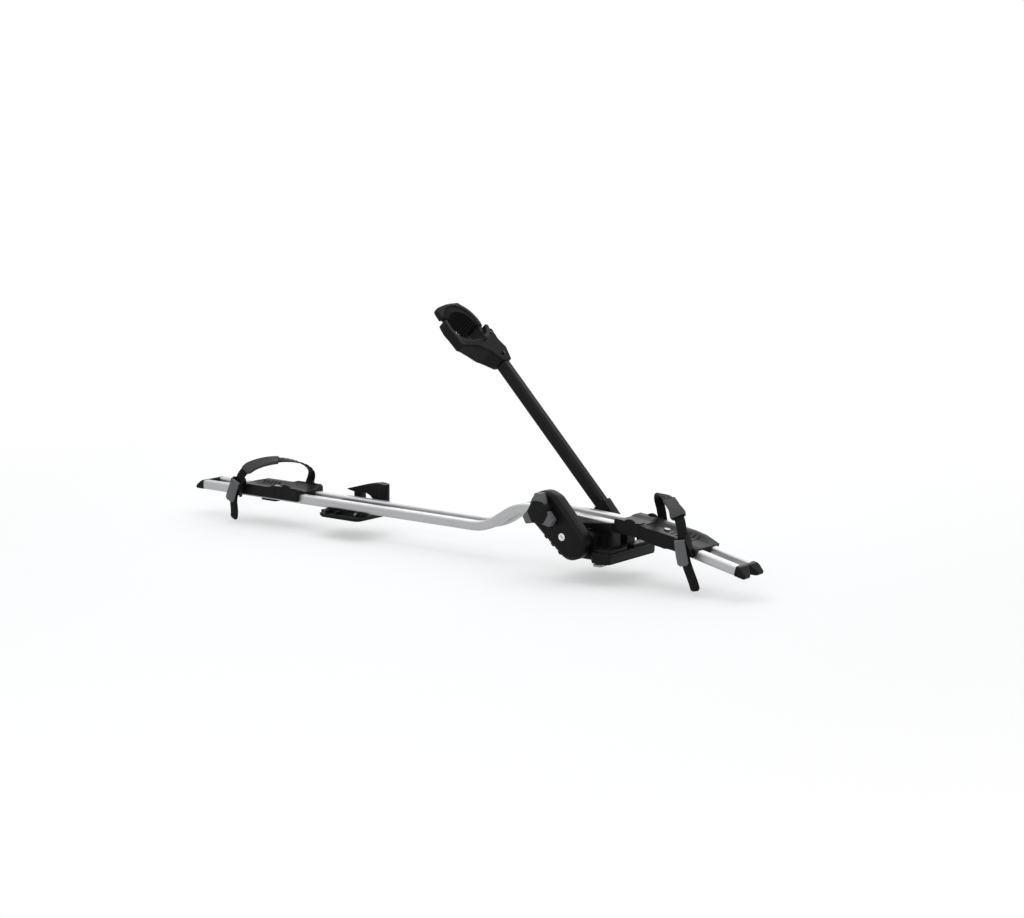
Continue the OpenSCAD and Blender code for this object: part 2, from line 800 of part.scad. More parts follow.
module knob_housing() {
    color(black) on_arm() difference() {
        union() {
            across(-house_near, -house_far - house_step_d) house_outline(0);
            across(-house_far - house_step_d - 1, -house_far) house_outline(house_step);
            for (f = tab_places)
                translate([-house_r1 - f * (house_r2 + knob_back - house_r1), 0, f * knob_up])
                    across(-house_near + tab_w, -house_far - house_step_d - 1) square(tab_w, center = true);
        }
        pin_y(shaft_d / 2 + seat_gap, -house_near + house_wall, big);
        translate([knob_at[0], 0, knob_at[1]])
            pin_y(drum_r + 3, -house_near - 1, -house_far - house_wall);
        translate([lock_at[0], 0, lock_at[1]])
            pin_y(lock_d / 2 + run_gap, -house_near - 1, -house_near + lock_d);
    }
}

module knob_cover() {
    color(black) on_arm() difference() {
        hull() {
            across(-house_near - 1, -house_near) house_outline(0, $fn = 48);
            across(-cover_near, -cover_near + 1) house_outline(cover_bevel, $fn = 48);
        }
        translate([knob_at[0], 0, knob_at[1]]) pin_y(spindle_d / 2 + run_gap, -big, 0);
        translate([lock_at[0], 0, lock_at[1]]) pin_y(lock_d / 2 + run_gap, -big, 0);
    }
}

module lock_cylinder() {
    front = -cover_near - 0.5;
    color(silver) on_arm() translate([lock_at[0], 0, lock_at[1]]) difference() {
        pin_y(lock_d / 2, front, -house_near + lock_d - 1);
        translate([0, front, 0]) cube([1.6, 10, lock_d * 0.55], center = true);
        translate([0, front, 0]) difference() {
            pin_y(lock_d * 0.42, -1, 0.4);
            pin_y(lock_d * 0.36, -2, 1);
        }
    }
}

module knob_spindle() {
    color(steel) on_arm() translate([knob_at[0], 0, knob_at[1]]) {
        pin_y(spindle_d / 2, -cover_near - knob_t / 2, -house_far - house_wall - free_gap);
        pin_y(drum_r, -house_near + 9, -house_far - house_wall - 2);
    }
}

module limiter_disc() {
    color(steel) on_arm() translate([knob_at[0], 0, knob_at[1]]) difference() {
        pin_y(drum_r + 1, -house_near + 6, -house_near + 9 - seat_gap);
        pin_y(spindle_d / 2 + run_gap, -big, big);
    }
}

// Disc spring between the cover and the limiter disc
module limiter_spring() {
    r0 = spindle_d / 2 + 1;
    r1 = drum_r;
    color(steel) on_arm() translate([knob_at[0], -house_near + seat_gap, knob_at[1]])
        rotate([-90, 0, 0]) rotate_extrude()
            polygon([[r0, 0], [r0, 1.6], [r1, 5.8], [r1, 4.2]]);
}

// One lobe of the knob, pointing along +X
module knob_lobe() {
    polygon([[knob_core_r * 0.4, lobe_half * 1.15], [knob_core_r * 0.9, lobe_half],
        [knob_r - 1.5, lobe_half * 0.62], [knob_r, lobe_half * 0.5], [knob_r, -lobe_half * 0.5],
        [knob_r - 1.5, -lobe_half * 0.62], [knob_core_r * 0.9, -lobe_half],
        [knob_core_r * 0.4, -lobe_half * 1.15]]);
}

module knob_outline() {
    circle(knob_core_r);
    for (k = [0 : 2]) rotate(90 + 120 * k) knob_lobe();
}

module knob_tips(r) {
    for (k = [0 : 2]) rotate(90 + 120 * k) difference() {
        knob_lobe();
        circle(r);
    }
}

knob_back_y = -cover_near - 0.6;
knob_front_y = knob_back_y - knob_t;

module torque_knob() {
    color(black) on_arm() translate([knob_at[0], 0, knob_at[1]]) rotate([0, arm_lean, 0]) difference() {
        union() {
            across(knob_front_y + 1.5, knob_back_y) knob_outline();
            across(knob_front_y, knob_back_y - 2) circle(knob_core_r - 1.5);
        }
        across(knob_front_y - 1, knob_front_y + grip_depth) knob_tips(knob_core_r - 1);
        pin_y(spindle_d / 2 + seat_gap, -cover_near - knob_t / 2, 0);
    }
}

module knob_grips() {
    color(grey) on_arm() translate([knob_at[0], 0, knob_at[1]]) rotate([0, arm_lean, 0])
        across(knob_front_y + 1, knob_front_y + grip_depth - seat_gap) knob_tips(knob_core_r - 1 + seat_gap);
}

// Plan of the palm and near finger, seen along the arm
module palm_plan(inset) {
    front = palm_front_w - inset;
    tip = finger_back + finger_w - inset;
    translate([0, 0, -big]) linear_extrude(2 * big)
        polygon([[finger_back + inset, -big], [tip, -big], [tip, -grip_r], [front, shell_out * 0.3],
            [front, big], [-palm_back + inset, big], [-palm_back + inset, shell_out * 0.3],
            [finger_back + inset, -grip_r]]);
}

// Plan of the jaw, seen along the arm
module jaw_plan(inset) {
    front = jaw_front_w - inset;
    tip = jaw_tip_back + jaw_tip_w - inset;
    translate([0, 0, -big]) linear_extrude(2 * big)
        polygon([[-jaw_back + inset, big], [front, big], [front, -grip_r * 0.3],
            [tip, -shell_out * 0.85], [tip, -big],
            [jaw_tip_back + inset / 2, -big], [jaw_tip_back + inset / 2, -grip_r],
            [jaw_tip_back + inset - 9, -grip_r * 0.5], [-jaw_back / 2 + inset, 0],
            [-jaw_back + inset, grip_r / 2]]);
}

// Palm seen along the frame tube: a near finger, a trough and the socket for the arm
module palm_front() {
    difference() {
        union() {
            ring_sector(shell_r - 1, shell_out, 153, 290);
            polygon([[-shell_out * 0.97, -7], [-shell_out * 0.91, -shell_out * 0.86],
                [-shell_out * 0.29, -shell_out * 1.11], [sock_y0 * 0.45, socket_v + 21],
                [sock_y0, socket_v], [sock_y1, socket_v],
                [sock_y1, socket_v + socket_len - 4], hinge_at + [hinge_r + 5, -hinge_r - 5],
                hinge_at + [hinge_r - 1, 0], hinge_at, [20, -shell_r * 0.8], [-20, -shell_r * 0.8],
                [-shell_r * 0.97, -7]]);
            translate(hinge_at) circle(hinge_r);
        }
        circle(shell_r);
    }
}

// Height where the palm's front face ends its slant
front_v = -shell_out * 0.4;

module palm_side() {
    polygon([[sock_w0, socket_v], [sock_w1, socket_v], [sock_w1 + 2, socket_v + 8],
        [palm_front_w, front_v], [palm_front_w, big], [-palm_back, big],
        [-palm_back, socket_v + socket_len + 4], [sock_w0 - 1, socket_v + 12]]);
}

rivet_v = socket_v + 15;
rivet_w1 = sock_w1 + 2 + (palm_front_w - sock_w1 - 2) * (rivet_v - socket_v - 8) / (front_v - socket_v - 8);

module claw_palm() {
    color(black) on_claw() difference() {
        union() {
            intersection() {
                along_x(-palm_back, palm_front_w) palm_front();
                across(-big, big) palm_side();
                palm_plan(0);
            }
            along_x(jaw_front_w + 2 * free_gap, palm_front_w) ring_sector(shell_r, shell_out, 285, 344);
        }
        translate([0, hinge_at[0], hinge_at[1]]) {
            pin_x(hinge_r + 1.7, jaw_w0 - free_gap, jaw_w1 + free_gap);
            pin_x(jaw_pin_d / 2 + seat_gap, -palm_back + 2, palm_front_w - 2);
        }
        translate([arm_fwd - lug_half - 1, hinge_at[0] - hinge_r, hinge_at[1] - lug_reach - lug_drop - 1])
            cube([2 * lug_half + 2, lug_reach + hinge_r + 3, big]);
        translate([arm_fwd, arm_y, socket_v - 1]) linear_extrude(socket_len + 1 + seat_gap)
            round_rect(arm_w + 2 * seat_gap, arm_d + 2 * seat_gap, arm_corner);
        translate([arm_fwd, arm_y, socket_v]) cylinder(d = rod_d + 2 * free_gap, h = -socket_v);
        translate([0, arm_y - 4, rivet_v]) pin_x(2 + seat_gap, arm_fwd, big);
    }
}

module arm_rivet() {
    color(steel) on_claw() translate([0, arm_y - 4, rivet_v]) {
        pin_x(2, arm_fwd + arm_w / 2 + seat_gap, rivet_w1 + 2);
        pin_x(4, rivet_w1 + 1.4, rivet_w1 + 3);
    }
}

// Ridges along the frame tube, cut into a pad between two angles
module ridge_cuts(a0, a1) {
    for (a = [a0 + ridge_step / 2 : ridge_step : a1])
        rotate([a, 0, 0]) translate([0, grip_r, 0]) rotate([45, 0, 0])
            cube([big, ridge_depth, ridge_depth], center = true);
}

module palm_pad() {
    color(rubber) on_claw() difference() {
        intersection() {
            along_x(-palm_back, palm_front_w) ring_sector(grip_r, shell_r - seat_gap, 158, 304);
            palm_plan(2.5);
        }
        ridge_cuts(158, 304);
    }
}

// Jaw seen along the frame tube: an arch over the tube with a square shoulder
hood_top = jaw_up + jaw_out - hood_flat;

module jaw_front() {
    difference() {
        union() {
            translate([0, jaw_up]) ring_sector(jaw_r - 1, jaw_out, -14, 60);
            polygon([[0, jaw_end_v], [(jaw_out - 2) * cos(42), jaw_up + (jaw_out - 2) * sin(42)],
                [jaw_out * 0.5, hood_top], [0, hood_top], [-jaw_out * 0.34, hood_top - 1],
                [-jaw_out * 0.64, hood_top - 2.5], [-jaw_out * 0.73, hood_top - 5.5],
                [-jaw_out * 0.78, hood_top - 11], [-jaw_out * 0.8, jaw_end_v]]);
        }
        translate([0, jaw_up]) circle(jaw_r);
    }
}

// Web between the jaw's knuckle and its arch
module jaw_web() {
    difference() {
        union() {
            translate(hinge_at) circle(hinge_r);
            polygon([hinge_at + [-hinge_r, 0], hinge_at + [hinge_r, 0], [jaw_out - 1.5, jaw_up - 10],
                [jaw_out - 1.5, jaw_up], [jaw_r + 1, jaw_up], [jaw_r * 0.96, jaw_up - 10]]);
        }
        translate([0, jaw_up]) circle(jaw_r);
    }
}

module claw_jaw() {
    color(black) on_claw() difference() {
        union() {
            intersection() {
                along_x(-jaw_back, jaw_front_w) jaw_front();
                jaw_plan(0);
            }
            along_x(jaw_w0, jaw_w1) jaw_web();
            along_x(arm_fwd - lug_half, arm_fwd + lug_half)
                translate(hinge_at - [0, lug_drop]) square([lug_reach, lug_drop + 2]);
        }
        translate([0, hinge_at[0], hinge_at[1]]) pin_x(jaw_pin_d / 2 + run_gap, -big, big);
    }
}

module jaw_pad() {
    color(rubber) on_claw() difference() {
        intersection() {
            along_x(-jaw_back, jaw_front_w) difference() {
                intersection() {
                    translate([0, jaw_up]) circle(jaw_r - seat_gap);
                    ring_sector(grip_r, 2 * jaw_out, 0, 138);
                }
            }
            jaw_plan(2.5);
        }
        ridge_cuts(0, 138);
    }
}

module jaw_pin() {
    color(steel) on_claw() translate([0, hinge_at[0], hinge_at[1]])
        pin_x(jaw_pin_d / 2, -palm_back + 2 + seat_gap, palm_front_w - 2 - seat_gap);
}

// Cross-section of a tray over the two rails; swell widens it
module tray_section(skirt, swell = 0) {
    slot = tube_half + free_gap + swell / 10;
    inside = tray_side - tray_wall - swell / 4;
    difference() {
        translate([-tray_side - swell, -skirt]) square([tray_w + 2 * swell, skirt + big / 20]);
        translate([-rail_y, -big]) square([rail_pitch, big - tray_skirt - swell / 4]);
        for (s = [-1, 1])
            translate([s * rail_y - slot, -big]) square([2 * slot, big + free_gap + swell / 10]);
        polygon([[-rail_in, tray_floor + swell / 4], [rail_in, tray_floor + swell / 4],
            [inside, tray_rim + tray_floor], [inside, big],
            [-inside, big], [-inside, tray_rim + tray_floor]]);
    }
}

// Outer end of a tray in side view, from the rim down to the skirt
tray_tip = [[tray_len - 30, tray_rim], [tray_len, 2], [tray_len, 4 - tray_skirt], [tray_len - 4, -tray_skirt]];

// Side view of the rear tray, with the block at its inner end
module tray_outline() {
    polygon(concat([[0, -tray_skirt], [0, tray_block - 4], [5, tray_block], [block_len, tray_block],
        [block_len + 14, tray_rim]], tray_tip));
}

// Side view of the front tray outside its bend: the rim rises towards the buckle
module front_outline() {
    polygon(concat([[bend_at - 6, -side_skirt], [bend_at - 6, front_block - 0.4], [block_len, front_block - 2],
        [tray_len * 0.7, tray_rim + 1]], tray_tip,
        [[tray_len * 0.72, -tray_skirt - 1.5], [tray_len * 0.55, -side_skirt]]));
}

module tray_bump(top) {
    for (s = [-1, 1])
        translate([bump_r * 2.3, s * (tray_side - tray_wall / 2), top - bump_r])
            pin_y(bump_r, 0.5 - tray_wall / 2, tray_wall / 2 - 0.5);
}

// Bare panel sunk into both sides of the block
module tray_panel(side, length, height) {
    for (s = [-1, 1])
        translate([length / 2 + 6, s * side, 1]) cube([length, 1.2, height], center = true);
}

module tray_holes() {
    translate([tray_len / 2, 0, -big]) cylinder(d = tray_bolt_d + 2 * seat_gap, h = 2 * big);
    translate([strap_far_u, 0, 0]) pin_y(3 + seat_gap, rail_out + 1, big);
}

module tray() {
    difference() {
        union() {
            intersection() {
                along_x(0, tray_len) tray_section(tray_skirt);
                across(-tray_side, tray_side) tray_outline();
            }
            tray_bump(tray_block + 6);
        }
        tray_panel(tray_side, block_len - 12, tray_block);
        tray_holes();
    }
}

// Low block of the front tray, before it is bent down
module bent_block() {
    side = tray_side + block_swell;
    difference() {
        union() {
            intersection() {
                along_x(0, bend_at + 5) tray_section(side_skirt, block_swell);
                across(-side, side)
                    polygon([[3, -side_skirt], [0, 3 - side_skirt], [0, front_block - 2.5], [4, front_block],
                        [bend_at + 5, front_block], [bend_at + 5, -side_skirt]]);
            }
            tray_bump(front_block + 4.8);
        }
        tray_panel(side, bend_at - 11, front_block * 2);
    }
}

module long_tray() {
    difference() {
        union() {
            intersection() {
                along_x(bend_at - 5.5, tray_len) tray_section(side_skirt);
                across(-tray_side, tray_side) front_outline();
            }
            translate([bend_at, 0, 0]) rotate([0, -front_bend, 0]) translate([-bend_at, 0, 0]) bent_block();
        }
        tray_holes();
    }
}

module front_tray() {
    color(black) on_front_tray() long_tray();
}

module rear_tray() {
    color(black) on_rear_tray() tray();
}

module tray_clamp() {
    difference() {
        translate([tray_len / 2, 0, -tube_size - free_gap - 4]) linear_extrude(4)
            round_rect(tray_len * 0.23, 2 * rail_y + tube_half, 5);
        translate([tray_len / 2, 0, -big]) cylinder(d = tray_bolt_d + 2 * seat_gap, h = 2 * big);
    }
}

module front_tray_clamp() {
    color(black) on_front_tray() tray_clamp();
}

module rear_tray_clamp() {
    color(black) on_rear_tray() tray_clamp();
}

module tray_bolt() {
    low = -tube_size - free_gap - 4;
    translate([tray_len / 2, 0, low - 5]) cylinder(d = tray_bolt_d, h = tray_floor - low + 5);
    translate([tray_len / 2, 0, tray_floor]) cylinder(d = 2 * tray_bolt_d, h = 2.5);
    translate([tray_len / 2, 0, low - 4.5]) cylinder(d = 2 * tray_bolt_d, h = 4.5 - seat_gap, $fn = 6);
}

module front_tray_bolt() {
    color(steel) on_front_tray() tray_bolt();
}

module rear_tray_bolt() {
    color(steel) on_rear_tray() tray_bolt();
}

// Frame of a buckle: it leans with its strap
module at_buckle() {
    translate([strap_near_u, 0, 0]) rotate([0, -strap_lean, 0]) children();
}

// Buckle on the near side of a tray; the fin stands on the side that fin_side names
module buckle(fin_side) {
    outer = lever_y + 2;
    at_buckle() difference() {
        union() {
            along_x(-cheek_in - cheek_t, cheek_in + cheek_t)
                translate([-buckle_y, -buckle_low]) square([cheek_t, buckle_low + buckle_high - 8]);
            for (s = [-1, 1]) {
                high = s == fin_side ? fin_high : buckle_high;
                along_x(s * (cheek_in + cheek_t / 2) - cheek_t / 2, s * (cheek_in + cheek_t / 2) + cheek_t / 2)
                    polygon([[-buckle_back, -buckle_low], [-buckle_back, high - 12], [-tray_side - 8, high],
                        [-lever_y + 3, buckle_high], [-outer, lever_v + 3], [-outer, lever_v - 4],
                        [-buckle_y - 3, -buckle_low]]);
            }
        }
        translate([0, -lever_y, lever_v]) pin_x(lever_pin_d / 2 + seat_gap, -big, big);
    }
}

module front_buckle() {
    color(black) on_front_tray() buckle(1);
}

module rear_buckle() {
    color(black) on_rear_tray() buckle(-1);
}

module lever_pin() {
    at_buckle() translate([0, -lever_y, lever_v])
        pin_x(lever_pin_d / 2, -cheek_in - cheek_t, cheek_in + cheek_t);
}

module front_lever_pin() {
    color(steel) on_front_tray() lever_pin();
}

module rear_lever_pin() {
    color(steel) on_rear_tray() lever_pin();
}

// Ratchet lever: a knuckle on its pin and a curved handle that hangs outside the strap
module lever() {
    half = cheek_in - free_gap;
    hub = lever_pin_d / 2 + 2.5;
    bow = 3 * lever_len;
    at_buckle() translate([0, -lever_y, lever_v]) difference() {
        union() {
            pin_x(hub, -half, half);
            along_x(-half, half) intersection() {
                translate([bow - hub + 1, -lever_len * 0.45]) ring_sector(bow - lever_t / 2, bow + lever_t / 2,
                    150, 210);
                translate([-big / 2, -lever_len]) square([big, lever_len]);
            }
        }
        pin_x(lever_pin_d / 2 + run_gap, -big, big);
        for (s = [-1, 1])
            translate([s * half, 0, -lever_len]) rotate([0, 45, 0]) cube([6, big, 6], center = true);
    }
}

module front_lever() {
    color(grey) on_front_tray() lever();
}

module rear_lever() {
    color(grey) on_rear_tray() lever();
}

// A strap wraps the wheel as a ribbon that drifts along its tray while it crosses over;
// beside buckle and stud it keeps straight
drift_wait = 15;
function ease(x) = x * x * (3 - 2 * x);
drift_span = 180 - 2 * drift_wait;
function drift_share(a) = min(1, max(0, (180 - drift_wait - a) / drift_span));
function drift(a) = strap_near_u - strap_run * ease(drift_share(a));
function drift_rate(a) = let (x = drift_share(a)) strap_run * 6 * x * (1 - x) / drift_span;
function unit(v) = v / norm(v);

// Upward and sideways directions of a leaning strap
LEAN_UP = [-sin(strap_lean), 0, cos(strap_lean)];
LEAN_SIDE = [cos(strap_lean), 0, sin(strap_lean)];
ACROSS = [0, 1, 0];

// A station on the arch: [centre, normal, width direction]
function arch(a) =
    let (m = cos(a) * ACROSS + sin(a) * LEAN_UP,
        t = unit([drift_rate(a), 0, 0] + strap_r * PI / 180 * (cos(a) * LEAN_UP - sin(a) * ACROSS)),
        n = unit(m - (m * t) * t))
    [[drift(a), 0, 0] + strap_r * m + strap_up * LEAN_UP, n, cross(n, t)];

// A station on the tail, which drifts sideways once it has left the buckle
tail_free = (strap_up + buckle_low) / tail_len;
function tail(f, side_drift) =
    [[strap_near_u + side_drift * ease(max(0, (f - tail_free) / (1 - tail_free))), -strap_r, 0]
        + (strap_up - tail_len * f) * LEAN_UP, -ACROSS, LEAN_SIDE];
function box_ring(s, w, t) = [for (c = [[-1, -1], [1, -1], [1, 1], [-1, 1]])
    s[0] + c[0] * w / 2 * s[2] + c[1] * t / 2 * s[1]];

// Skin between rings of four corners, closed at both ends
module ribbon(rings) {
    n = len(rings);
    polyhedron(
        [for (r = rings) each r],
        concat([[0, 1, 2, 3]], [[4 * n - 1, 4 * n - 2, 4 * n - 3, 4 * n - 4]],
            [for (i = [0 : n - 2], k = [0 : 3], h = [0, 1])
                let (a = 4 * i + k, b = 4 * i + (k + 1) % 4)
                h == 0 ? [a, a + 4, b + 4] : [a, b + 4, b]]),
        convexity = 6);
}

arch_steps = 36;
far_drop = strap_up + 10;

module strap(side_drift) {
    tail_steps = 8;
    tail_rings = [for (k = [tail_steps : -1 : 1])
        box_ring(tail(k / tail_steps, side_drift), k == tail_steps ? strap_w * 0.6 : strap_w, strap_t)];
    arch_rings = [for (k = [0 : arch_steps]) box_ring(arch(180 - 180 * k / arch_steps), strap_w, strap_t)];
    end = arch(0);
    end_rings = [for (k = [1, 2]) box_ring([end[0] - far_drop * k / 2 * LEAN_UP, end[1], end[2]], strap_w, strap_t)];
    difference() {
        ribbon(concat(tail_rings, arch_rings, end_rings));
        translate([strap_far_u, 0, 0]) pin_y(4 + seat_gap, 0, big);
    }
}

module front_strap() {
    color(black) on_front_tray() strap(front_tail_drift);
}

module rear_strap() {
    color(black) on_rear_tray() strap(-rear_tail_drift);
}

// Skin round a hollow ribbon, from rings of outer and inner corners
module sleeve(outer, inner) {
    n = len(outer);
    m = 4 * n;
    e = m - 4;
    polyhedron(
        concat([for (r = outer) each r], [for (r = inner) each r]),
        concat(
            [for (k = [0 : 3]) let (j = (k + 1) % 4) [k, j, m + j, m + k]],
            [for (k = [0 : 3]) let (j = (k + 1) % 4) [e + j, e + k, m + e + k, m + e + j]],
            [for (i = [0 : n - 2], k = [0 : 3], h = [0, 1])
                let (a = 4 * i + k, b = 4 * i + (k + 1) % 4)
                h == 0 ? [a, a + 4, b + 4] : [a, b + 4, b]],
            [for (i = [0 : n - 2], k = [0 : 3], h = [0, 1])
                let (a = m + 4 * i + k, b = m + 4 * i + (k + 1) % 4)
                h == 0 ? [a, b + 4, a + 4] : [a, b, b + 4]]),
        convexity = 8);
}

// Rubber sleeve round a strap, on the strap's own stations
module strap_pad(first, steps) {
    stations = [for (k = [0 : steps]) arch(180 - 180 * (first + k) / arch_steps)];
    hole_w = strap_w + 2 * free_gap;
    hole_t = strap_t + 2 * free_gap;
    sleeve(
        [for (s = stations) box_ring(s, hole_w + 2 * strap_pad_side, hole_t + 2 * strap_pad_wall)],
        [for (s = stations) box_ring(s, hole_w, hole_t)]);
}

module front_strap_pad() {
    color(grey) on_front_tray() strap_pad(front_pad_from, front_pad_steps);
}

module rear_strap_pad() {
    color(grey) on_rear_tray() strap_pad(rear_pad_from, rear_pad_steps);
}

// Stud that holds the far end of a strap to its tray
module strap_stud() {
    inner = strap_r - strap_t / 2 - seat_gap;
    outer = strap_r + strap_t / 2 + seat_gap;
    translate([strap_far_u, 0, 0]) {
        pin_y(3, rail_out + 1.5, tray_side + 2);
        pin_y(7, tray_side + block_swell + lie_gap, inner);
        pin_y(4, inner - 1, outer + 1);
        pin_y(8, outer, outer + 3);
    }
}

module front_strap_stud() {
    color(black) on_front_tray() strap_stud();
}

module rear_strap_stud() {
    color(black) on_rear_tray() strap_stud();
}

module rear_foot_outline(inset) {
    nose_r = rear_foot_w / 3;
    translate([foot_x, 0]) {
        round_rect(rear_foot_len - 2 * inset, rear_foot_w / 2, 8);
        translate([nose_r / 4, 0]) round_rect(rear_foot_len - nose_r / 2 - 2 * inset, rear_foot_w - 2 * inset, 12);
    }
}

module rear_foot_plate() {
    keel = rail_in - free_gap;
    back = foot_x - rear_block_len / 2;
    block = clamp_x + clamp_r - back;
    color(black) difference() {
        union() {
            translate([0, 0, pad_t]) linear_extrude(rear_plate_h - pad_t) rear_foot_outline(0);
            for (s = [-1, 1])
                translate([back, s * rail_y - tube_half, pad_t])
                    cube([block, tube_size, rail_bottom - seat_gap - pad_t]);
            translate([back, -keel, pad_t]) cube([rear_block_len * 0.6, 2 * keel, rail_z + 3 - pad_t]);
            for (k = [0, 1])
                translate([back + (k + 0.5) * rear_block_len / 3, 0, (pad_t + rail_bottom - 1) / 2])
                    cube([base_wall, rear_foot_w - 8, rail_bottom - 1 - pad_t], center = true);
        }
        translate([back - slot_w, rail_out + 2 * slot_w, 0])
            linear_extrude(big) round_rect(slot_len, slot_w, slot_w / 2 - 0.1);
        for (s = [-1, 1])
            translate([foot_x - rear_foot_len / 2 + 14, s * rail_y / 2, 0]) cylinder(d = draw_d, h = big);
        translate([clamp_x, 0, draw_z]) pin_y(draw_d / 2 + seat_gap, -big, big);
        translate([bar_x, 0, 0]) cylinder(d = bar_bolt_d + 2 * seat_gap, h = big);
    }
}

module rear_foot_pad() {
    color(rubber) difference() {
        linear_extrude(pad_t) intersection() {
            rear_foot_outline(2);
            translate([foot_x - rear_block_len / 2, -big / 2]) square([big, big]);
        }
        translate([bar_x, 0, -1]) cylinder(d = bar_bolt_d + 2 * seat_gap, h = big);
    }
}

module rear_bar_bolt() {
    color(steel) translate([bar_x, 0, 0]) bar_bolt(rear_plate_h + bar_bolt_d);
}

module rear_bar_nut() {
    color(steel) translate([bar_x, 0, rear_plate_h]) bar_nut();
}

// Shoe that the clamp lever presses against the far rail
module clamp_shoe() {
    color(black) difference() {
        translate([clamp_x - clamp_r, rail_out + free_gap, rear_plate_h + free_gap])
            cube([2 * clamp_r, shoe_t, rail_z + 4 - rear_plate_h]);
        translate([clamp_x, 0, draw_z]) pin_y(draw_d / 2 + seat_gap, 0, big);
    }
}

eye_low = rear_plate_h + free_gap;
eye_high = rail_bottom + 0.5;

// Clamp lever: an upright barrel on the pin and a wedge handle with a leg and a finger gap
module clamp_lever() {
    low = eye_high + free_gap;
    tail = -clamp_len;
    color(black) translate([clamp_x, clamp_y, 0]) difference() {
        union() {
            translate([0, 0, low]) cylinder(r = clamp_r, h = clamp_top - 2 - low);
            across(-clamp_r + 2, clamp_r - 2)
                polygon([[0, clamp_top - 1], [0, low], [-clamp_r - 4, low], [-clamp_r - 10, rail_top - 6],
                    [-clamp_r - 20, rail_top + 3], [-clamp_r - 34, clamp_tail_z - 3],
                    [tail * 0.62, clamp_tail_z - 4], [tail * 0.62, low],
                    [tail * 0.8, low], [tail * 0.8, clamp_tail_z - 5], [tail, clamp_tail_z - 2],
                    [tail, clamp_tail_z], [tail * 0.45, clamp_top - 6], [-clamp_r, clamp_top]]);
        }
        translate([0, 0, low - 1]) cylinder(d = clamp_pin_d + 2 * seat_gap, h = clamp_top - 12 - low);
    }
}

module clamp_pin() {
    color(steel) translate([clamp_x, clamp_y, eye_low])
        cylinder(d = clamp_pin_d, h = clamp_top - 14 - eye_low);
}

module clamp_draw_bolt() {
    color(steel) translate([clamp_x, 0, 0]) {
        translate([0, 0, draw_z])
            pin_y(draw_d / 2, -rail_out - 2 * draw_d, clamp_y - clamp_pin_d / 2 - 1);
        translate([0, clamp_y, eye_low]) difference() {
            cylinder(d = clamp_pin_d + 7, h = eye_high - eye_low);
            translate([0, 0, -1]) cylinder(d = clamp_pin_d + 2 * run_gap, h = big);
        }
    }
}

module clamp_draw_nut() {
    color(steel) translate([clamp_x, 0, draw_z]) difference() {
        pin_y(draw_d, -rail_out - seat_gap - 1.2 * draw_d, -rail_out - seat_gap, $fn = 6);
        pin_y(draw_d / 2 + seat_gap, -big, big);
    }
}

rail_near();
rail_far();
front_end_cap();
rear_end_cap();
base_housing();
front_foot_pad();
roof_bar_bolts();
roof_bar_nuts();
rail_screws();
pivot_bush_near();
pivot_bush_far();
pivot_shaft();
arm_root();
arm_tube();
pull_rod();
knob_housing();
knob_cover();
lock_cylinder();
knob_spindle();
limiter_disc();
limiter_spring();
torque_knob();
knob_grips();
claw_palm();
palm_pad();
claw_jaw();
jaw_pad();
jaw_pin();
arm_rivet();
front_tray();
front_tray_clamp();
front_tray_bolt();
front_buckle();
front_lever();
front_lever_pin();
front_strap();
front_strap_pad();
front_strap_stud();
rear_tray();
rear_tray_clamp();
rear_tray_bolt();
rear_buckle();
rear_lever();
rear_lever_pin();
rear_strap();
rear_strap_pad();
rear_strap_stud();
rear_foot_plate();
rear_foot_pad();
rear_bar_bolt();
rear_bar_nut();
clamp_shoe();
clamp_lever();
clamp_pin();
clamp_draw_bolt();
clamp_draw_nut();
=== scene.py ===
# %% [markdown]
# # A roof mounted bike carrier
# The carrier is a pair of bent rails on two feet, with a swinging arm that ends in a claw, and two trays with
# ratchet straps. The solid pieces come packed in one shared frame, in metres. This lesson gives them their
# looks: finishes for metal, moulded plastic and rubber, softened edges, straps that bend, and the small parts
# that a machine drawing leaves out.

# %% Load the packed pieces
import json
import math

import bmesh
import bpy
from mathutils import Matrix, Vector

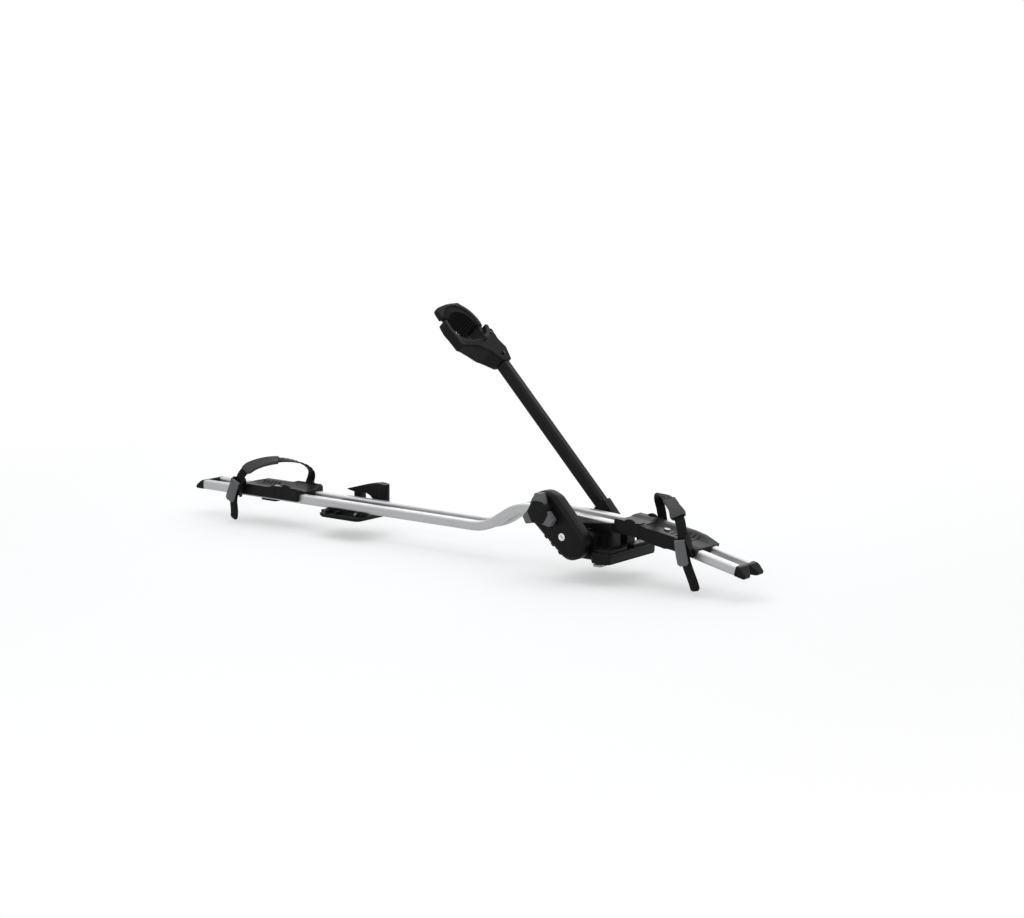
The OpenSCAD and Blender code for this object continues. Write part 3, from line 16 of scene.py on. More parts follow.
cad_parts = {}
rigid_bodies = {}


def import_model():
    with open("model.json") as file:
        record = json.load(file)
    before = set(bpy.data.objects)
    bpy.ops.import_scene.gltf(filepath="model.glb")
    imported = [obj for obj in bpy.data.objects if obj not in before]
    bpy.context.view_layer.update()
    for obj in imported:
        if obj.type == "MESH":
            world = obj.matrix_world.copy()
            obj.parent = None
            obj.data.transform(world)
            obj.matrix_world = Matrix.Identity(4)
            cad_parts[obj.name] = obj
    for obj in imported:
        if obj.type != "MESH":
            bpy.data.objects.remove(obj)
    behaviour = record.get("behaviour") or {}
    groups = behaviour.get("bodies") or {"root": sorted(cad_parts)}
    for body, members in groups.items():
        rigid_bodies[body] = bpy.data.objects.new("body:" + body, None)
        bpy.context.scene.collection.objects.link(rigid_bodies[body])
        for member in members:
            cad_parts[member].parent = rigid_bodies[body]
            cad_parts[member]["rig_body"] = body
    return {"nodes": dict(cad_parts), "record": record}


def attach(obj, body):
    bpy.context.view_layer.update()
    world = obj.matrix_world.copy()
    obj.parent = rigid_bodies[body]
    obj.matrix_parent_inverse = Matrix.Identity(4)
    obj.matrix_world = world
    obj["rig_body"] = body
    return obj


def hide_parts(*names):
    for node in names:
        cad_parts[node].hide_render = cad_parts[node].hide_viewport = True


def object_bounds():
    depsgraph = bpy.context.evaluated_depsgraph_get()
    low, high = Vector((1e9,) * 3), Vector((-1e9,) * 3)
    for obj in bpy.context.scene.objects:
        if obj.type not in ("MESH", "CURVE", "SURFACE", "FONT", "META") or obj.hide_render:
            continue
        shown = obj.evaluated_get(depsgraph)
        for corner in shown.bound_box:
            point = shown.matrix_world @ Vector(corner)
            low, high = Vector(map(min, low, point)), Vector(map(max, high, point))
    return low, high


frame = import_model()
nodes = frame["nodes"]
cad_low, cad_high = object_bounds()
print("pieces loaded:", len(nodes), "box", [round(v, 3) for v in cad_high - cad_low])

# %% [markdown]
# ## The camera
# A product picture like this is taken from far away with a long lens, so that the rails stay nearly
# parallel. The camera looks down at the carrier from its front near corner. It could be turned by three
# angles, but a matrix of three directions (right, up and back) also keeps the picture's slight roll.

# %% Place the camera
camera_place = (2.4161, -3.6345, 0.9060)
look = Vector((-0.5856, 0.7944, -0.1612)).normalized()
roll_right = Vector((0.804, 0.595, 0.0107))
lens_mm, sensor_mm, far_clip = 78.76, 36.0, 200.0
camera_data = bpy.data.cameras.new("product_camera")
camera_data.sensor_fit = "HORIZONTAL"
camera_data.sensor_width = sensor_mm
camera_data.lens = lens_mm
camera_data.clip_end = far_clip
camera = bpy.data.objects.new("product_camera", camera_data)
bpy.context.scene.collection.objects.link(camera)
right = (roll_right - look * roll_right.dot(look)).normalized()
up = right.cross(look)
turn = Matrix((right, up, -look)).transposed()
camera.matrix_world = Matrix.Translation(camera_place) @ turn.to_4x4()
bpy.context.scene.camera = camera
bpy.context.scene.view_settings.view_transform = "Standard"
print("camera looks along", [round(v, 3) for v in look])

# %% [markdown]
# ## A plain studio
# Black plastic only shows its shape in what it reflects, so the light comes from large soft panels: one
# above, one at the near side and a weak one behind. The white of the room could be made by brighter lamps,
# but they would bleach the rails. Instead the room is white only for rays that come from the camera or from a
# shiny surface, and gives a dimmer light to everything else.

# %% Colour the room
room_white, room_light, room_strength = (1.0, 1.0, 1.0, 1.0), (0.93, 0.96, 1.0, 1.0), 0.42


def seen_or_mirrored(tree):
    """A socket that is 1 for rays of the camera and of reflections, and 0 for falling light."""
    path = tree.nodes.new("ShaderNodeLightPath")
    either = tree.nodes.new("ShaderNodeMath")
    either.operation = "MAXIMUM"
    tree.links.new(path.outputs["Is Camera Ray"], either.inputs[0])
    tree.links.new(path.outputs["Is Glossy Ray"], either.inputs[1])
    return either.outputs["Value"]


world = bpy.data.worlds.new("white_room")
bpy.context.scene.world = world
world.use_nodes = True
tree = world.node_tree
tree.nodes.clear()
shown = tree.nodes.new("ShaderNodeBackground")
shown.inputs["Color"].default_value = room_white
shown.inputs["Strength"].default_value = 1.0
falling = tree.nodes.new("ShaderNodeBackground")
falling.inputs["Color"].default_value = room_light
falling.inputs["Strength"].default_value = room_strength
room_mix = tree.nodes.new("ShaderNodeMixShader")
room_out = tree.nodes.new("ShaderNodeOutputWorld")
tree.links.new(seen_or_mirrored(tree), room_mix.inputs["Fac"])
tree.links.new(falling.outputs["Background"], room_mix.inputs[1])
tree.links.new(shown.outputs["Background"], room_mix.inputs[2])
tree.links.new(room_mix.outputs["Shader"], room_out.inputs["Surface"])
print("room light", room_strength)

# %% Hang the soft panels
middle = (cad_low + cad_high) / 2


def soft_panel(name, place, size, power):
    """A rectangular area lamp at place, turned to the middle of the carrier."""
    lamp = bpy.data.lights.new(name, "AREA")
    lamp.shape = "RECTANGLE"
    lamp.size, lamp.size_y = size
    lamp.energy = power
    holder = bpy.data.objects.new(name, lamp)
    holder.location = place
    holder.rotation_euler = (middle - Vector(place)).to_track_quat("-Z", "Y").to_euler()
    bpy.context.scene.collection.objects.link(holder)
    return holder


soft_panel("top_panel", (-0.6, 0.3, 2.6), (4.6, 3.6), 64.0)
soft_panel("side_panel", (0.9, -2.6, 1.3), (2.8, 1.8), 28.0)
soft_panel("back_panel", (-1.6, 2.4, 1.4), (2.4, 1.2), 18.0)

# %% [markdown]
# ## The floor
# The floor is pale and keeps a soft shadow under the carrier. A floor of one colour would end in a horizon
# line, so its material fades with the distance from the middle, from a matt surface to the white of the room.

# %% Lay the floor
floor_radius, floor_corners, floor_gap = 30.0, 96, 0.004
bpy.ops.object.select_all(action="DESELECT")
bpy.ops.mesh.primitive_circle_add(vertices=floor_corners, radius=floor_radius, fill_type="NGON",
                                  location=(middle.x, middle.y, cad_low.z - floor_gap))
floor = bpy.context.object
floor.name = "studio_floor"
print("floor at z", round(floor.location.z, 4))

# %% Let the floor fade into the room
floor_pale, floor_rough, floor_shine = (0.92, 0.92, 0.92, 1.0), 0.9, 0.1
fade_from, fade_to, fade_least = 0.5, 2.1, 0.4
floor_mat = bpy.data.materials.new("studio_floor")
floor_mat.use_nodes = True
tree = floor_mat.node_tree
tree.nodes.clear()
matt = tree.nodes.new("ShaderNodeBsdfPrincipled")
matt.inputs["Base Color"].default_value = floor_pale
matt.inputs["Roughness"].default_value = floor_rough
matt.inputs["Specular IOR Level"].default_value = floor_shine
white = tree.nodes.new("ShaderNodeEmission")
white.inputs["Strength"].default_value = 1.0
coord = tree.nodes.new("ShaderNodeTexCoord")
distance = tree.nodes.new("ShaderNodeVectorMath")
distance.operation = "LENGTH"
fade = tree.nodes.new("ShaderNodeMapRange")
fade.interpolation_type = "SMOOTHSTEP"
fade.inputs["From Min"].default_value = fade_from
fade.inputs["From Max"].default_value = fade_to
fade.inputs["To Min"].default_value = fade_least
share_white = tree.nodes.new("ShaderNodeMath")
share_white.operation = "MULTIPLY"
floor_mix = tree.nodes.new("ShaderNodeMixShader")
floor_out = tree.nodes.new("ShaderNodeOutputMaterial")
tree.links.new(coord.outputs["Object"], distance.inputs[0])
tree.links.new(distance.outputs["Value"], fade.inputs["Value"])
tree.links.new(fade.outputs["Result"], share_white.inputs[0])
tree.links.new(seen_or_mirrored(tree), share_white.inputs[1])
tree.links.new(share_white.outputs["Value"], floor_mix.inputs["Fac"])
tree.links.new(matt.outputs["BSDF"], floor_mix.inputs[1])
tree.links.new(white.outputs["Emission"], floor_mix.inputs[2])
tree.links.new(floor_mix.outputs["Shader"], floor_out.inputs["Surface"])
floor.data.materials.append(floor_mat)
print("floor fades from", fade_from, "to", fade_to, "m")

# %% [markdown]
# ## Finishes
# The rails are satin anodised metal, the rest is grained black plastic, coated tube, rubber and a few bits of
# steel. Photographs of such surfaces would show their tiling close up, so every finish starts from one
# Principled shader and two noise textures on Object coordinates, in metres. A coarse cloud shifts the colour
# and the roughness from place to place, as handling and sun do, and a fine grain becomes the moulded texture
# through a Bump node. Scales are counted per metre, so a scale of 900 makes grains of about a millimetre.

# %% Two helpers for a finish
cloud_scale, cloud_detail, cloud_rough = 14.0, 5.0, 0.62
grain_detail, even_rough, grain_strength = 3.0, 0.5, 0.6
dark_end, light_end = 0.3, 0.72
gloss_below, gloss_above = 0.08, 0.10
cool = 1.02


def add_noise(tree, vector, scale, detail, rough):
    """A noise texture on the given coordinates; returns its value socket."""
    noise = tree.nodes.new("ShaderNodeTexNoise")
    noise.inputs["Scale"].default_value = scale
    noise.inputs["Detail"].default_value = detail
    noise.inputs["Roughness"].default_value = rough
    tree.links.new(vector, noise.inputs["Vector"])
    return noise.outputs["Fac"]


def grey(level):
    """A neutral colour from a 0 to 255 screen level, as linear light."""
    c = level / 255
    linear = c / 12.92 if c <= 0.04045 else ((c + 0.055) / 1.055) ** 2.4
    return (linear, linear, linear * cool)


print("a grey of 128 is", round(grey(128)[0], 3), "in linear light")

# %% The finish itself


def finish(name, colour, rough, grain_scale, grain_depth, shade=0.25, metal=0.0, shine=0.2,
           stretch=(1, 1, 1)):
    """A procedural material: base colour that varies, roughness that varies, and a fine bump."""
    material = bpy.data.materials.new(name)
    material.use_nodes = True
    tree = material.node_tree
    shader = tree.nodes["Principled BSDF"]
    shader.inputs["Metallic"].default_value = metal
    shader.inputs["Specular IOR Level"].default_value = shine
    place = tree.nodes.new("ShaderNodeTexCoord").outputs["Object"]
    stretched = tree.nodes.new("ShaderNodeMapping")
    stretched.inputs["Scale"].default_value = stretch
    tree.links.new(place, stretched.inputs["Vector"])
    cloud = add_noise(tree, place, cloud_scale, cloud_detail, cloud_rough)
    grain = add_noise(tree, stretched.outputs["Vector"], grain_scale, grain_detail, even_rough)

    tint = tree.nodes.new("ShaderNodeValToRGB")
    for stop, position, side in zip(tint.color_ramp.elements, (dark_end, light_end), (-1, 1)):
        stop.position = position
        stop.color = (*[c * (1 + side * shade) for c in colour], 1)
    tree.links.new(cloud, tint.inputs["Fac"])
    tree.links.new(tint.outputs["Color"], shader.inputs["Base Color"])

    both = tree.nodes.new("ShaderNodeMath")
    both.operation = "ADD"
    tree.links.new(cloud, both.inputs[0])
    tree.links.new(grain, both.inputs[1])
    gloss = tree.nodes.new("ShaderNodeMapRange")
    gloss.inputs["From Max"].default_value = 2.0
    gloss.inputs["To Min"].default_value = rough - gloss_below
    gloss.inputs["To Max"].default_value = rough + gloss_above
    tree.links.new(both.outputs["Value"], gloss.inputs["Value"])
    tree.links.new(gloss.outputs["Result"], shader.inputs["Roughness"])

    bump = tree.nodes.new("ShaderNodeBump")
    bump.inputs["Strength"].default_value = grain_strength
    bump.inputs["Distance"].default_value = grain_depth
    tree.links.new(grain, bump.inputs["Height"])
    tree.links.new(bump.outputs["Normal"], shader.inputs["Normal"])
    return material


print("helper:", finish.__doc__)

# %% Mix the finishes
looks = {
    "moulded_black": finish("grained_black_plastic", grey(13), 0.42, 900, 0.00014, shine=0.11),
    "black_arm": finish("black_coated_tube", grey(13), 0.34, 420, 0.00008, shine=0.12),
    "anodised_rail": finish("satin_anodised_rail", grey(178), 0.4, 260, 0.00003, shade=0.04, metal=1.0,
                            shine=0.5, stretch=(0.02, 3, 3)),
    "strap_black": finish("black_strap_rubber", grey(13), 0.5, 1100, 0.0001, shine=0.1),
    "soft_grey": finish("dark_grey_rubber", grey(60), 0.65, 1300, 0.00014, shade=0.14, shine=0.2),
    "claw_rubber": finish("black_ridged_rubber", grey(14), 0.7, 1200, 0.00015, shine=0.1),
    "mid_grey": finish("mid_grey_plastic", grey(86), 0.5, 1000, 0.00012, shade=0.1, shine=0.25),
    "bearing_plastic": finish("dark_bearing_plastic", grey(70), 0.35, 700, 0.00003, shade=0.1, shine=0.3),
    "zinc_steel": finish("zinc_plated_steel", grey(140), 0.34, 300, 0.00002, shade=0.12, metal=1.0,
                         shine=0.5),
    "lock_chrome": finish("polished_lock_face", grey(215), 0.22, 500, 0.00001, shade=0.04, metal=1.0,
                          shine=0.5),
}
black_steel = finish("blackened_rivet_steel", grey(38), 0.4, 300, 0.00002, shade=0.12, metal=1.0, shine=0.4)
print("finishes:", len(looks) + 1)

# %% [markdown]
# ## Dressing the pieces
# The record names a material slot for every piece, so a loop can hand out the finishes, which is surer than
# choosing them one by one. Pins and rivets that sit in black plastic are blackened, so that they don't shine
# out of it.

# %% Give each node its finish
slot_of = {part["node"]: part["material_slot"] for part in frame["record"]["subparts"]}
for name, node in nodes.items():
    node.data.materials.clear()
    node.data.materials.append(looks[slot_of[name]])
for name in ("arm_rivet", "jaw_pin", "front_lever_pin", "rear_lever_pin"):
    nodes[name].data.materials.clear()
    nodes[name].data.materials.append(black_steel)
print("nodes dressed:", len(slot_of))

# %% [markdown]
# ## Ratchet straps
# Each tray has a flat moulded strap: smooth below, with a row of small teeth on top that the ratchet grips. It
# leaves the buckle on the near side, goes up and over, drifts along the tray as it crosses, and comes down to
# a stud on the far side. A curve with a flat profile could give the ribbon but not the teeth, so the strap is
# modelled straight, as it leaves its mould, and then laid along its path.

# %% The size of a strap's path
strap_radius, strap_rise = 0.052, 0.018
strap_near, strap_run, still_angle = 0.170, 0.118, 15
tail_length, tail_straight, far_drop = 0.097, 0.036, 0.028
tail_drifts = {"front": 0.013, "rear": -0.021}
tail_steps, arch_steps, drop_steps = 40, 180, 10
lean = math.radians(24)
lean_up = Vector((-math.sin(lean), 0, math.cos(lean)))
level = Vector((0, 1, 0))


def ease(x):
    """Goes from 0 to 1 with a soft start and a soft stop."""
    x = min(max(x, 0.0), 1.0)
    return x * x * (3 - 2 * x)


def spoke(step):
    """The direction from the middle of the arch to one of its stations, one station per degree."""
    a = math.radians(arch_steps - step)
    return level * math.cos(a) + lean_up * math.sin(a)


print("the strap leans by", round(math.degrees(lean)), "degrees")

# %% Walk along the path


def strap_spots(tail_drift):
    """Points along the middle of a strap: its loose tail, its arch and its drop to the stud."""
    spots = []
    tail_free = tail_straight / tail_length
    for k in range(tail_steps, 0, -1):
        f = k / tail_steps
        drift = tail_drift * ease((f - tail_free) / (1 - tail_free))
        foot = Vector((strap_near + drift, -strap_radius, 0))
        spots.append(foot + lean_up * (strap_rise - tail_length * f))
    for k in range(arch_steps + 1):
        u = strap_near - strap_run * ease((k - still_angle) / (arch_steps - 2 * still_angle))
        spots.append(Vector((u, 0, 0)) + spoke(k) * strap_radius + lean_up * strap_rise)
    arch_end = spots[-1]
    for k in range(1, drop_steps + 1):
        spots.append(arch_end - lean_up * (far_drop * k / drop_steps))
    return spots


def strap_stations(tail_drift):
    """Stations of a strap in its tray's own axes: (length so far, centre, outward, across)."""
    spots = strap_spots(tail_drift)
    path, gone = [], 0.0
    for i, spot in enumerate(spots):
        ahead = (spots[min(i + 1, len(spots) - 1)] - spots[max(i - 1, 0)]).normalized()
        out = spoke(min(max(i - tail_steps, 0), arch_steps))
        outward = (out - ahead * out.dot(ahead)).normalized()
        across = outward.cross(-ahead).normalized()
        if i:
            gone += (spot - spots[i - 1]).length
        path.append((gone, spot, outward, across))
    return path


paths = {tray: strap_stations(drift) for tray, drift in tail_drifts.items()}
strap_length = paths["front"][-1][0]
print("strap length", round(strap_length, 4))

# %% Where the trays stand
front_tilt = math.radians(-12.5)
front_x, front_z = 0.020326, 0.085942
rear_x, rear_z = -0.813, 0.0355
tray_frames = {
    "front": Matrix(((math.cos(front_tilt), 0, -math.sin(front_tilt), front_x), (0, 1, 0, 0),
                     (math.sin(front_tilt), 0, math.cos(front_tilt), front_z), (0, 0, 0, 1))),
    "rear": Matrix(((-1, 0, 0, rear_x), (0, 1, 0, 0), (0, 0, 1, rear_z), (0, 0, 0, 1))),
}
tray_bodies = {"front": "frame", "rear": "rear_wheel_unit"}
print("trays:", len(tray_frames))

# %% Helpers for modelling by hand
X, Y = 0, 1
hair = 1e-5  # a length that counts as nothing
facing = 0.9  # how squarely a chosen face looks along an axis


def block(name, size, place=(0, 0, 0)):
    """A cube stretched to a size, with its place and size applied to its mesh."""
    bpy.ops.object.select_all(action="DESELECT")
    bpy.ops.mesh.primitive_cube_add(size=1.0, location=place, scale=size)
    bpy.ops.object.transform_apply(location=True, rotation=True, scale=True)
    bpy.context.object.name = name
    return bpy.context.object


def pick(kind, test):
    """In edit mode, selects only the faces, edges or vertices that pass the test."""
    bpy.ops.mesh.select_mode(type=kind)
    bpy.ops.mesh.select_all(action="DESELECT")
    work = bmesh.from_edit_mesh(bpy.context.object.data)
    group = {"VERT": work.verts, "EDGE": work.edges, "FACE": work.faces}[kind]
    for part in group:
        part.select = test(part)
    work.select_flush_mode()
    bmesh.update_edit_mesh(bpy.context.object.data)
    return sum(part.select for part in group)


def span(edge, axis):
    """How far an edge reaches along an axis."""
    return abs(edge.verts[0].co[axis] - edge.verts[1].co[axis])


print("helpers:", ", ".join(helper.__name__ for helper in (block, pick, span)))

# %% Mould one straight strap
strap_width, strap_thick, tooth_pitch = 0.021, 0.0026, 0.005
strap_round, tooth_inset, tooth_high, tooth_taper = 0.0008, 0.0005, 0.0009, 0.97
bare_tip, bare_end, least_tooth = 0.006, 0.05, 1e-5
steps = round(strap_length / (tooth_pitch / 2))
step = strap_length / steps
straight_strap = block("straight_strap", (strap_length, strap_width, strap_thick), (strap_length / 2, 0, 0))
bpy.ops.object.mode_set(mode="EDIT")
pick("EDGE", lambda e: span(e, X) > strap_length / 2)
bpy.ops.mesh.subdivide(number_cuts=steps - 1)
pick("EDGE", lambda e: span(e, X) > 10 * hair)
bpy.ops.mesh.bevel(offset=strap_round, segments=2, affect="EDGES")
teeth = pick("FACE", lambda f: f.normal.z > facing and int(f.calc_center_median().x / step) % 2 == 1
             and f.calc_area() > least_tooth
             and bare_tip < f.calc_center_median().x < strap_length - bare_end)
bpy.ops.mesh.inset(thickness=tooth_inset, use_individual=True)
bpy.ops.mesh.extrude_region_move(TRANSFORM_OT_translate={"value": (0, 0, tooth_high)})
bpy.ops.transform.resize(value=(1.0, tooth_taper, 1.0))
bpy.ops.object.mode_set(mode="OBJECT")
print("teeth on a strap:", teeth)

# %% Round the strap's tip
tip_least, tip_swell = 0.55, 0.45
for vert in straight_strap.data.vertices:
    if vert.co.x < bare_tip:
        swell = math.sin(math.acos(1 - max(vert.co.x, 0) / bare_tip))
        vert.co.y *= tip_least + tip_swell * swell
print("tip rounded over", bare_tip, "m")

# %% Helpers for copies, finishes and bending
lay_smooth = math.radians(32)


def take(piece):
    """Selects one piece alone and makes it active, as a click on it does."""
    bpy.ops.object.select_all(action="DESELECT")
    piece.select_set(True)
    bpy.context.view_layer.objects.active = piece


def twin(source, name):
    """A copy of a piece with a mesh of its own and without the marks that tie the source to a body."""
    piece = source.copy()
    piece.data = source.data.copy()
    for key in list(piece.keys()):
        del piece[key]
    piece.parent = None
    piece.name = name
    bpy.context.scene.collection.objects.link(piece)
    return piece


def dress(piece, slot, body):
    """Gives a new piece its finish and ties it to its body."""
    piece.data.materials.clear()
    piece.data.materials.append(looks[slot])
    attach(piece, body)


def lay(piece, path, start, tray):
    """Bends a piece that was modelled along X so that it follows a strap's path from start on."""
    for vert in piece.data.vertices:
        s = min(max(vert.co.x + start, 0.0), path[-1][0])
        i = next(k for k in range(1, len(path)) if path[k][0] >= s)
        (s0, p0, n0, w0), (s1, p1, n1, w1) = path[i - 1], path[i]
        t = (s - s0) / (s1 - s0)
        spot = p0.lerp(p1, t) + n0.lerp(n1, t) * vert.co.z + w0.lerp(w1, t) * vert.co.y
        vert.co = tray_frames[tray] @ spot
    take(piece)
    bpy.ops.object.mode_set(mode="EDIT")
    bpy.ops.mesh.select_all(action="SELECT")
    bpy.ops.mesh.normals_make_consistent(inside=False)
    bpy.ops.object.mode_set(mode="OBJECT")
    bpy.ops.object.shade_smooth_by_angle(angle=lay_smooth)


print("helpers:", ", ".join(helper.__name__ for helper in (take, twin, dress, lay)))

# %% Lay a strap on each tray
for tray, body in tray_bodies.items():
    strap = twin(straight_strap, tray + "_ribbed_strap")
    lay(strap, paths[tray], 0.0, tray)
    dress(strap, "strap_black", body)
    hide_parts(tray + "_strap")
    print(strap.name, len(strap.data.polygons), "faces")
bpy.data.objects.remove(straight_strap)

# %% [markdown]
# ## Strap pads
# A soft rubber sleeve on each strap keeps it from scratching what it holds. It is thicker than the strap,
# widest at the end that faces the buckle, crowned on top and open all the way through. Cloth would wrinkle,
# and this is moulded, so a block is tunnelled by insetting its two end faces and bridging them, its long edges
# are bevelled, and it is laid on the same path as the strap.

# %% Tunnel a block
pad_side, pad_extra, pad_round, pad_cuts = 0.0016, 0.0058, 0.0019, 23
tunnel_spare = 0.0002


def tunnelled_block(name, length, width, thick):
    """A block along X with rounded long edges and a tunnel from end to end."""
    piece = block(name, (length, width, thick), (length / 2, 0, 0))
    bpy.ops.object.mode_set(mode="EDIT")
    pick("EDGE", lambda e: span(e, X) > length / 2)
    bpy.ops.mesh.subdivide(number_cuts=pad_cuts)
    pick("FACE", lambda f: abs(f.normal.x) > facing)
    bpy.ops.mesh.inset(thickness=pad_side - tunnel_spare)
    bpy.ops.mesh.bridge_edge_loops(number_cuts=pad_cuts)
    pick("EDGE", lambda e: abs(abs(e.verts[0].co.y) - width / 2) < hair and
         abs(abs(e.verts[0].co.z) - thick / 2) < hair and span(e, X) > 10 * hair)
    bpy.ops.mesh.bevel(offset=pad_round, segments=3, affect="EDGES")
    bpy.ops.object.mode_set(mode="OBJECT")
    return piece


print("tunnel wall", round(pad_side - tunnel_spare, 4))

# %% Shape and lay the pads
flare_reach, crown_near, crown_far, skew = 0.5, 0.0012, 0.0006, 0.004
corner_share, corner_cut, end_share = 0.09, 0.16, 0.02


def place_on_path(path, angle):
    """How far along the path the arch has reached an angle, counted from the far side."""
    return path[tail_steps + round(arch_steps - angle)][0]


def strap_pad(tray, first, last, flare):
    """A pad between two angles of the arch, wider at its near end by flare."""
    path = paths[tray]
    start = place_on_path(path, first)
    length = place_on_path(path, last) - start
    width, thick = strap_width + 2 * pad_side, strap_thick + pad_extra
    pad = tunnelled_block(tray + "_rubber_pad", length, width, thick)
    for vert in pad.data.vertices:
        share = vert.co.x / length
        near = max(0.0, 1 - share / flare_reach)
        corner = max(0.0, 1 - share / corner_share)
        vert.co.y *= 1 + flare * ease(near) - corner_cut * corner ** 2
        if vert.co.z > thick / 2 - 10 * hair:
            vert.co.z += crown_near * near - crown_far * share
        if share < end_share:
            vert.co.x -= skew * (vert.co.y / width + 0.5)
    lay(pad, path, start, tray)
    dress(pad, "soft_grey", tray_bodies[tray])
    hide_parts(tray + "_strap_pad")
    print(pad.name, len(pad.data.polygons), "faces")


front_pad_end = 94
strap_pad("front", first=134, last=front_pad_end, flare=0.34)
strap_pad("rear", first=150, last=95, flare=0.1)

# %% [markdown]
# ## The eye of the front pad
# The front pad ends in a small eye, so that the loose pad can be hung up. A torus would be too round for a
# moulded eye, so a short cylinder is pressed into a ring: its two end faces are inset and bridged, its rims
# are bevelled, and the ring is laid on the strap's path behind the pad.

# %% Make the eye
eye_radius, eye_thick, eye_wall, eye_round = 0.0062, 0.0026, 0.0036, 0.0005
eye_place, eye_corners, rim_angle = (0.004, 0, 0.0034), 32, 1.0
bpy.ops.object.select_all(action="DESELECT")
bpy.ops.mesh.primitive_cylinder_add(vertices=eye_corners, radius=eye_radius, depth=eye_thick,
                                    location=eye_place)
pad_eye = bpy.context.object
pad_eye.name = "front_pad_eye"
bpy.ops.object.transform_apply(location=True, rotation=True, scale=True)
bpy.ops.object.mode_set(mode="EDIT")
pick("FACE", lambda f: abs(f.normal.z) > facing)
bpy.ops.mesh.inset(thickness=eye_wall)
bpy.ops.mesh.bridge_edge_loops()
pick("EDGE", lambda e: len(e.link_faces) == 2 and e.calc_face_angle(0) > rim_angle)
bpy.ops.mesh.bevel(offset=eye_round, segments=2, affect="EDGES")
bpy.ops.object.mode_set(mode="OBJECT")
lay(pad_eye, paths["front"], place_on_path(paths["front"], front_pad_end), "front")
dress(pad_eye, "soft_grey", tray_bodies["front"])
print("eye", len(pad_eye.data.polygons), "faces")

# %% [markdown]
# ## Softened edges
# Moulded and cast pieces never have knife edges: every corner has a radius of about a millimetre, and that
# thin line of light is what makes them look real. The drawing's solids are sharp. A shader can fake a round
# edge, but the exported mesh would lose it, so each piece that shows is copied, its triangles are merged back
# into flat faces, and a Bevel modifier rounds the edges that turn by more than 35 degrees. The sharp node is
# then hidden behind its copy.

# %% Helpers for a copy that stands for a node
flat_angle = math.radians(0.8)


def merged_copy(name, ending, flatten=False):
    """A selected copy of a node with its loose triangles joined, at their corners or into flat faces."""
    piece = twin(nodes[name], name + ending)
    take(piece)
    bpy.ops.object.mode_set(mode="EDIT")
    bpy.ops.mesh.select_all(action="SELECT")
    bpy.ops.mesh.remove_doubles(threshold=hair)
    if flatten:
        bpy.ops.mesh.dissolve_limited(angle_limit=flat_angle)
    bpy.ops.object.mode_set(mode="OBJECT")
    return piece


def stand_for(piece, name):
    """Ties a piece to a node's body, and hides the node behind it."""
    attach(piece, nodes[name]["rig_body"])
    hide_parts(name)
    print(piece.name, len(piece.data.polygons), "faces")


print("helpers:", ", ".join(helper.__name__ for helper in (merged_copy, stand_for)))

# %% Round the moulded pieces
round_angle, smooth_angle = math.radians(35), math.radians(30)


def soften(name, radius, rings=3):
    """A copy of a node with rounded edges, which stands for the node."""
    piece = merged_copy(name, "_rounded", flatten=True)
    round_off = piece.modifiers.new("round_off", "BEVEL")
    round_off.width = radius
    round_off.segments = rings
    round_off.limit_method = "ANGLE"
    round_off.angle_limit = round_angle
    round_off.use_clamp_overlap = True
    bpy.ops.object.modifier_apply(modifier=round_off.name)
    bpy.ops.object.shade_smooth_by_angle(angle=smooth_angle)
    stand_for(piece, name)
    return piece


rounding = {
    "base_housing": 0.0012, "arm_root": 0.0015, "knob_housing": 0.002, "knob_cover": 0.0025,
    "torque_knob": 0.0012, "knob_grips": 0.0012,
    "front_tray": 0.0012, "rear_tray": 0.0012, "front_buckle": 0.0008, "rear_buckle": 0.0008,
    "front_lever": 0.001, "rear_lever": 0.001,
    "rear_foot_plate": 0.0012, "clamp_lever": 0.0015, "clamp_shoe": 0.001,
}
rounded = {name: soften(name, radius) for name, radius in rounding.items()}
print("rounded:", len(rounded))

# %% [markdown]
# ## Flowing shapes
# The claw and the end caps have no sharp edges at all, so that nothing gets scratched on them. A bevel can't
# flow over so many corners. Instead a copy is wrapped in a fine even skin with the Remesh modifier, and the
# Smooth modifier then wears every ridge down and fills every inner corner. Round the hinge pin and the rivet
# the claw must keep its fit, so a vertex group with weights that grow away from them holds the smoothing back
# there.

# %% Where the claw keeps its fit
arm_angle = math.radians(44)
arm_out = Vector((math.cos(arm_angle), 0, math.sin(arm_angle)))


def middle_of(name):
    """The middle of a node's box."""
    node = nodes[name]
    return sum((node.matrix_world @ Vector(c) for c in node.bound_box), Vector()) / 8


# Nearer than the first distance nothing is smoothed, and beyond the second all is.
keep_spots = [(middle_of("jaw_pin"), 0.011, 0.026), (middle_of("arm_rivet"), 0.007, 0.016)]


def freedom(point):
    """How freely a point may be smoothed: 0 at a kept spot, 1 well away from all of them."""
    free = 1.0
    for spot, near, far in keep_spots:
        arm = point - spot
        gap = (arm - arm_out * arm.dot(arm_out)).length
        free = min(free, ease((gap - near) / (far - near)))
    return free


print("hinge pin at", [round(v, 3) for v in keep_spots[0][0]])

# %% Wrap and smooth the claw and the caps
flow_factor = 0.5


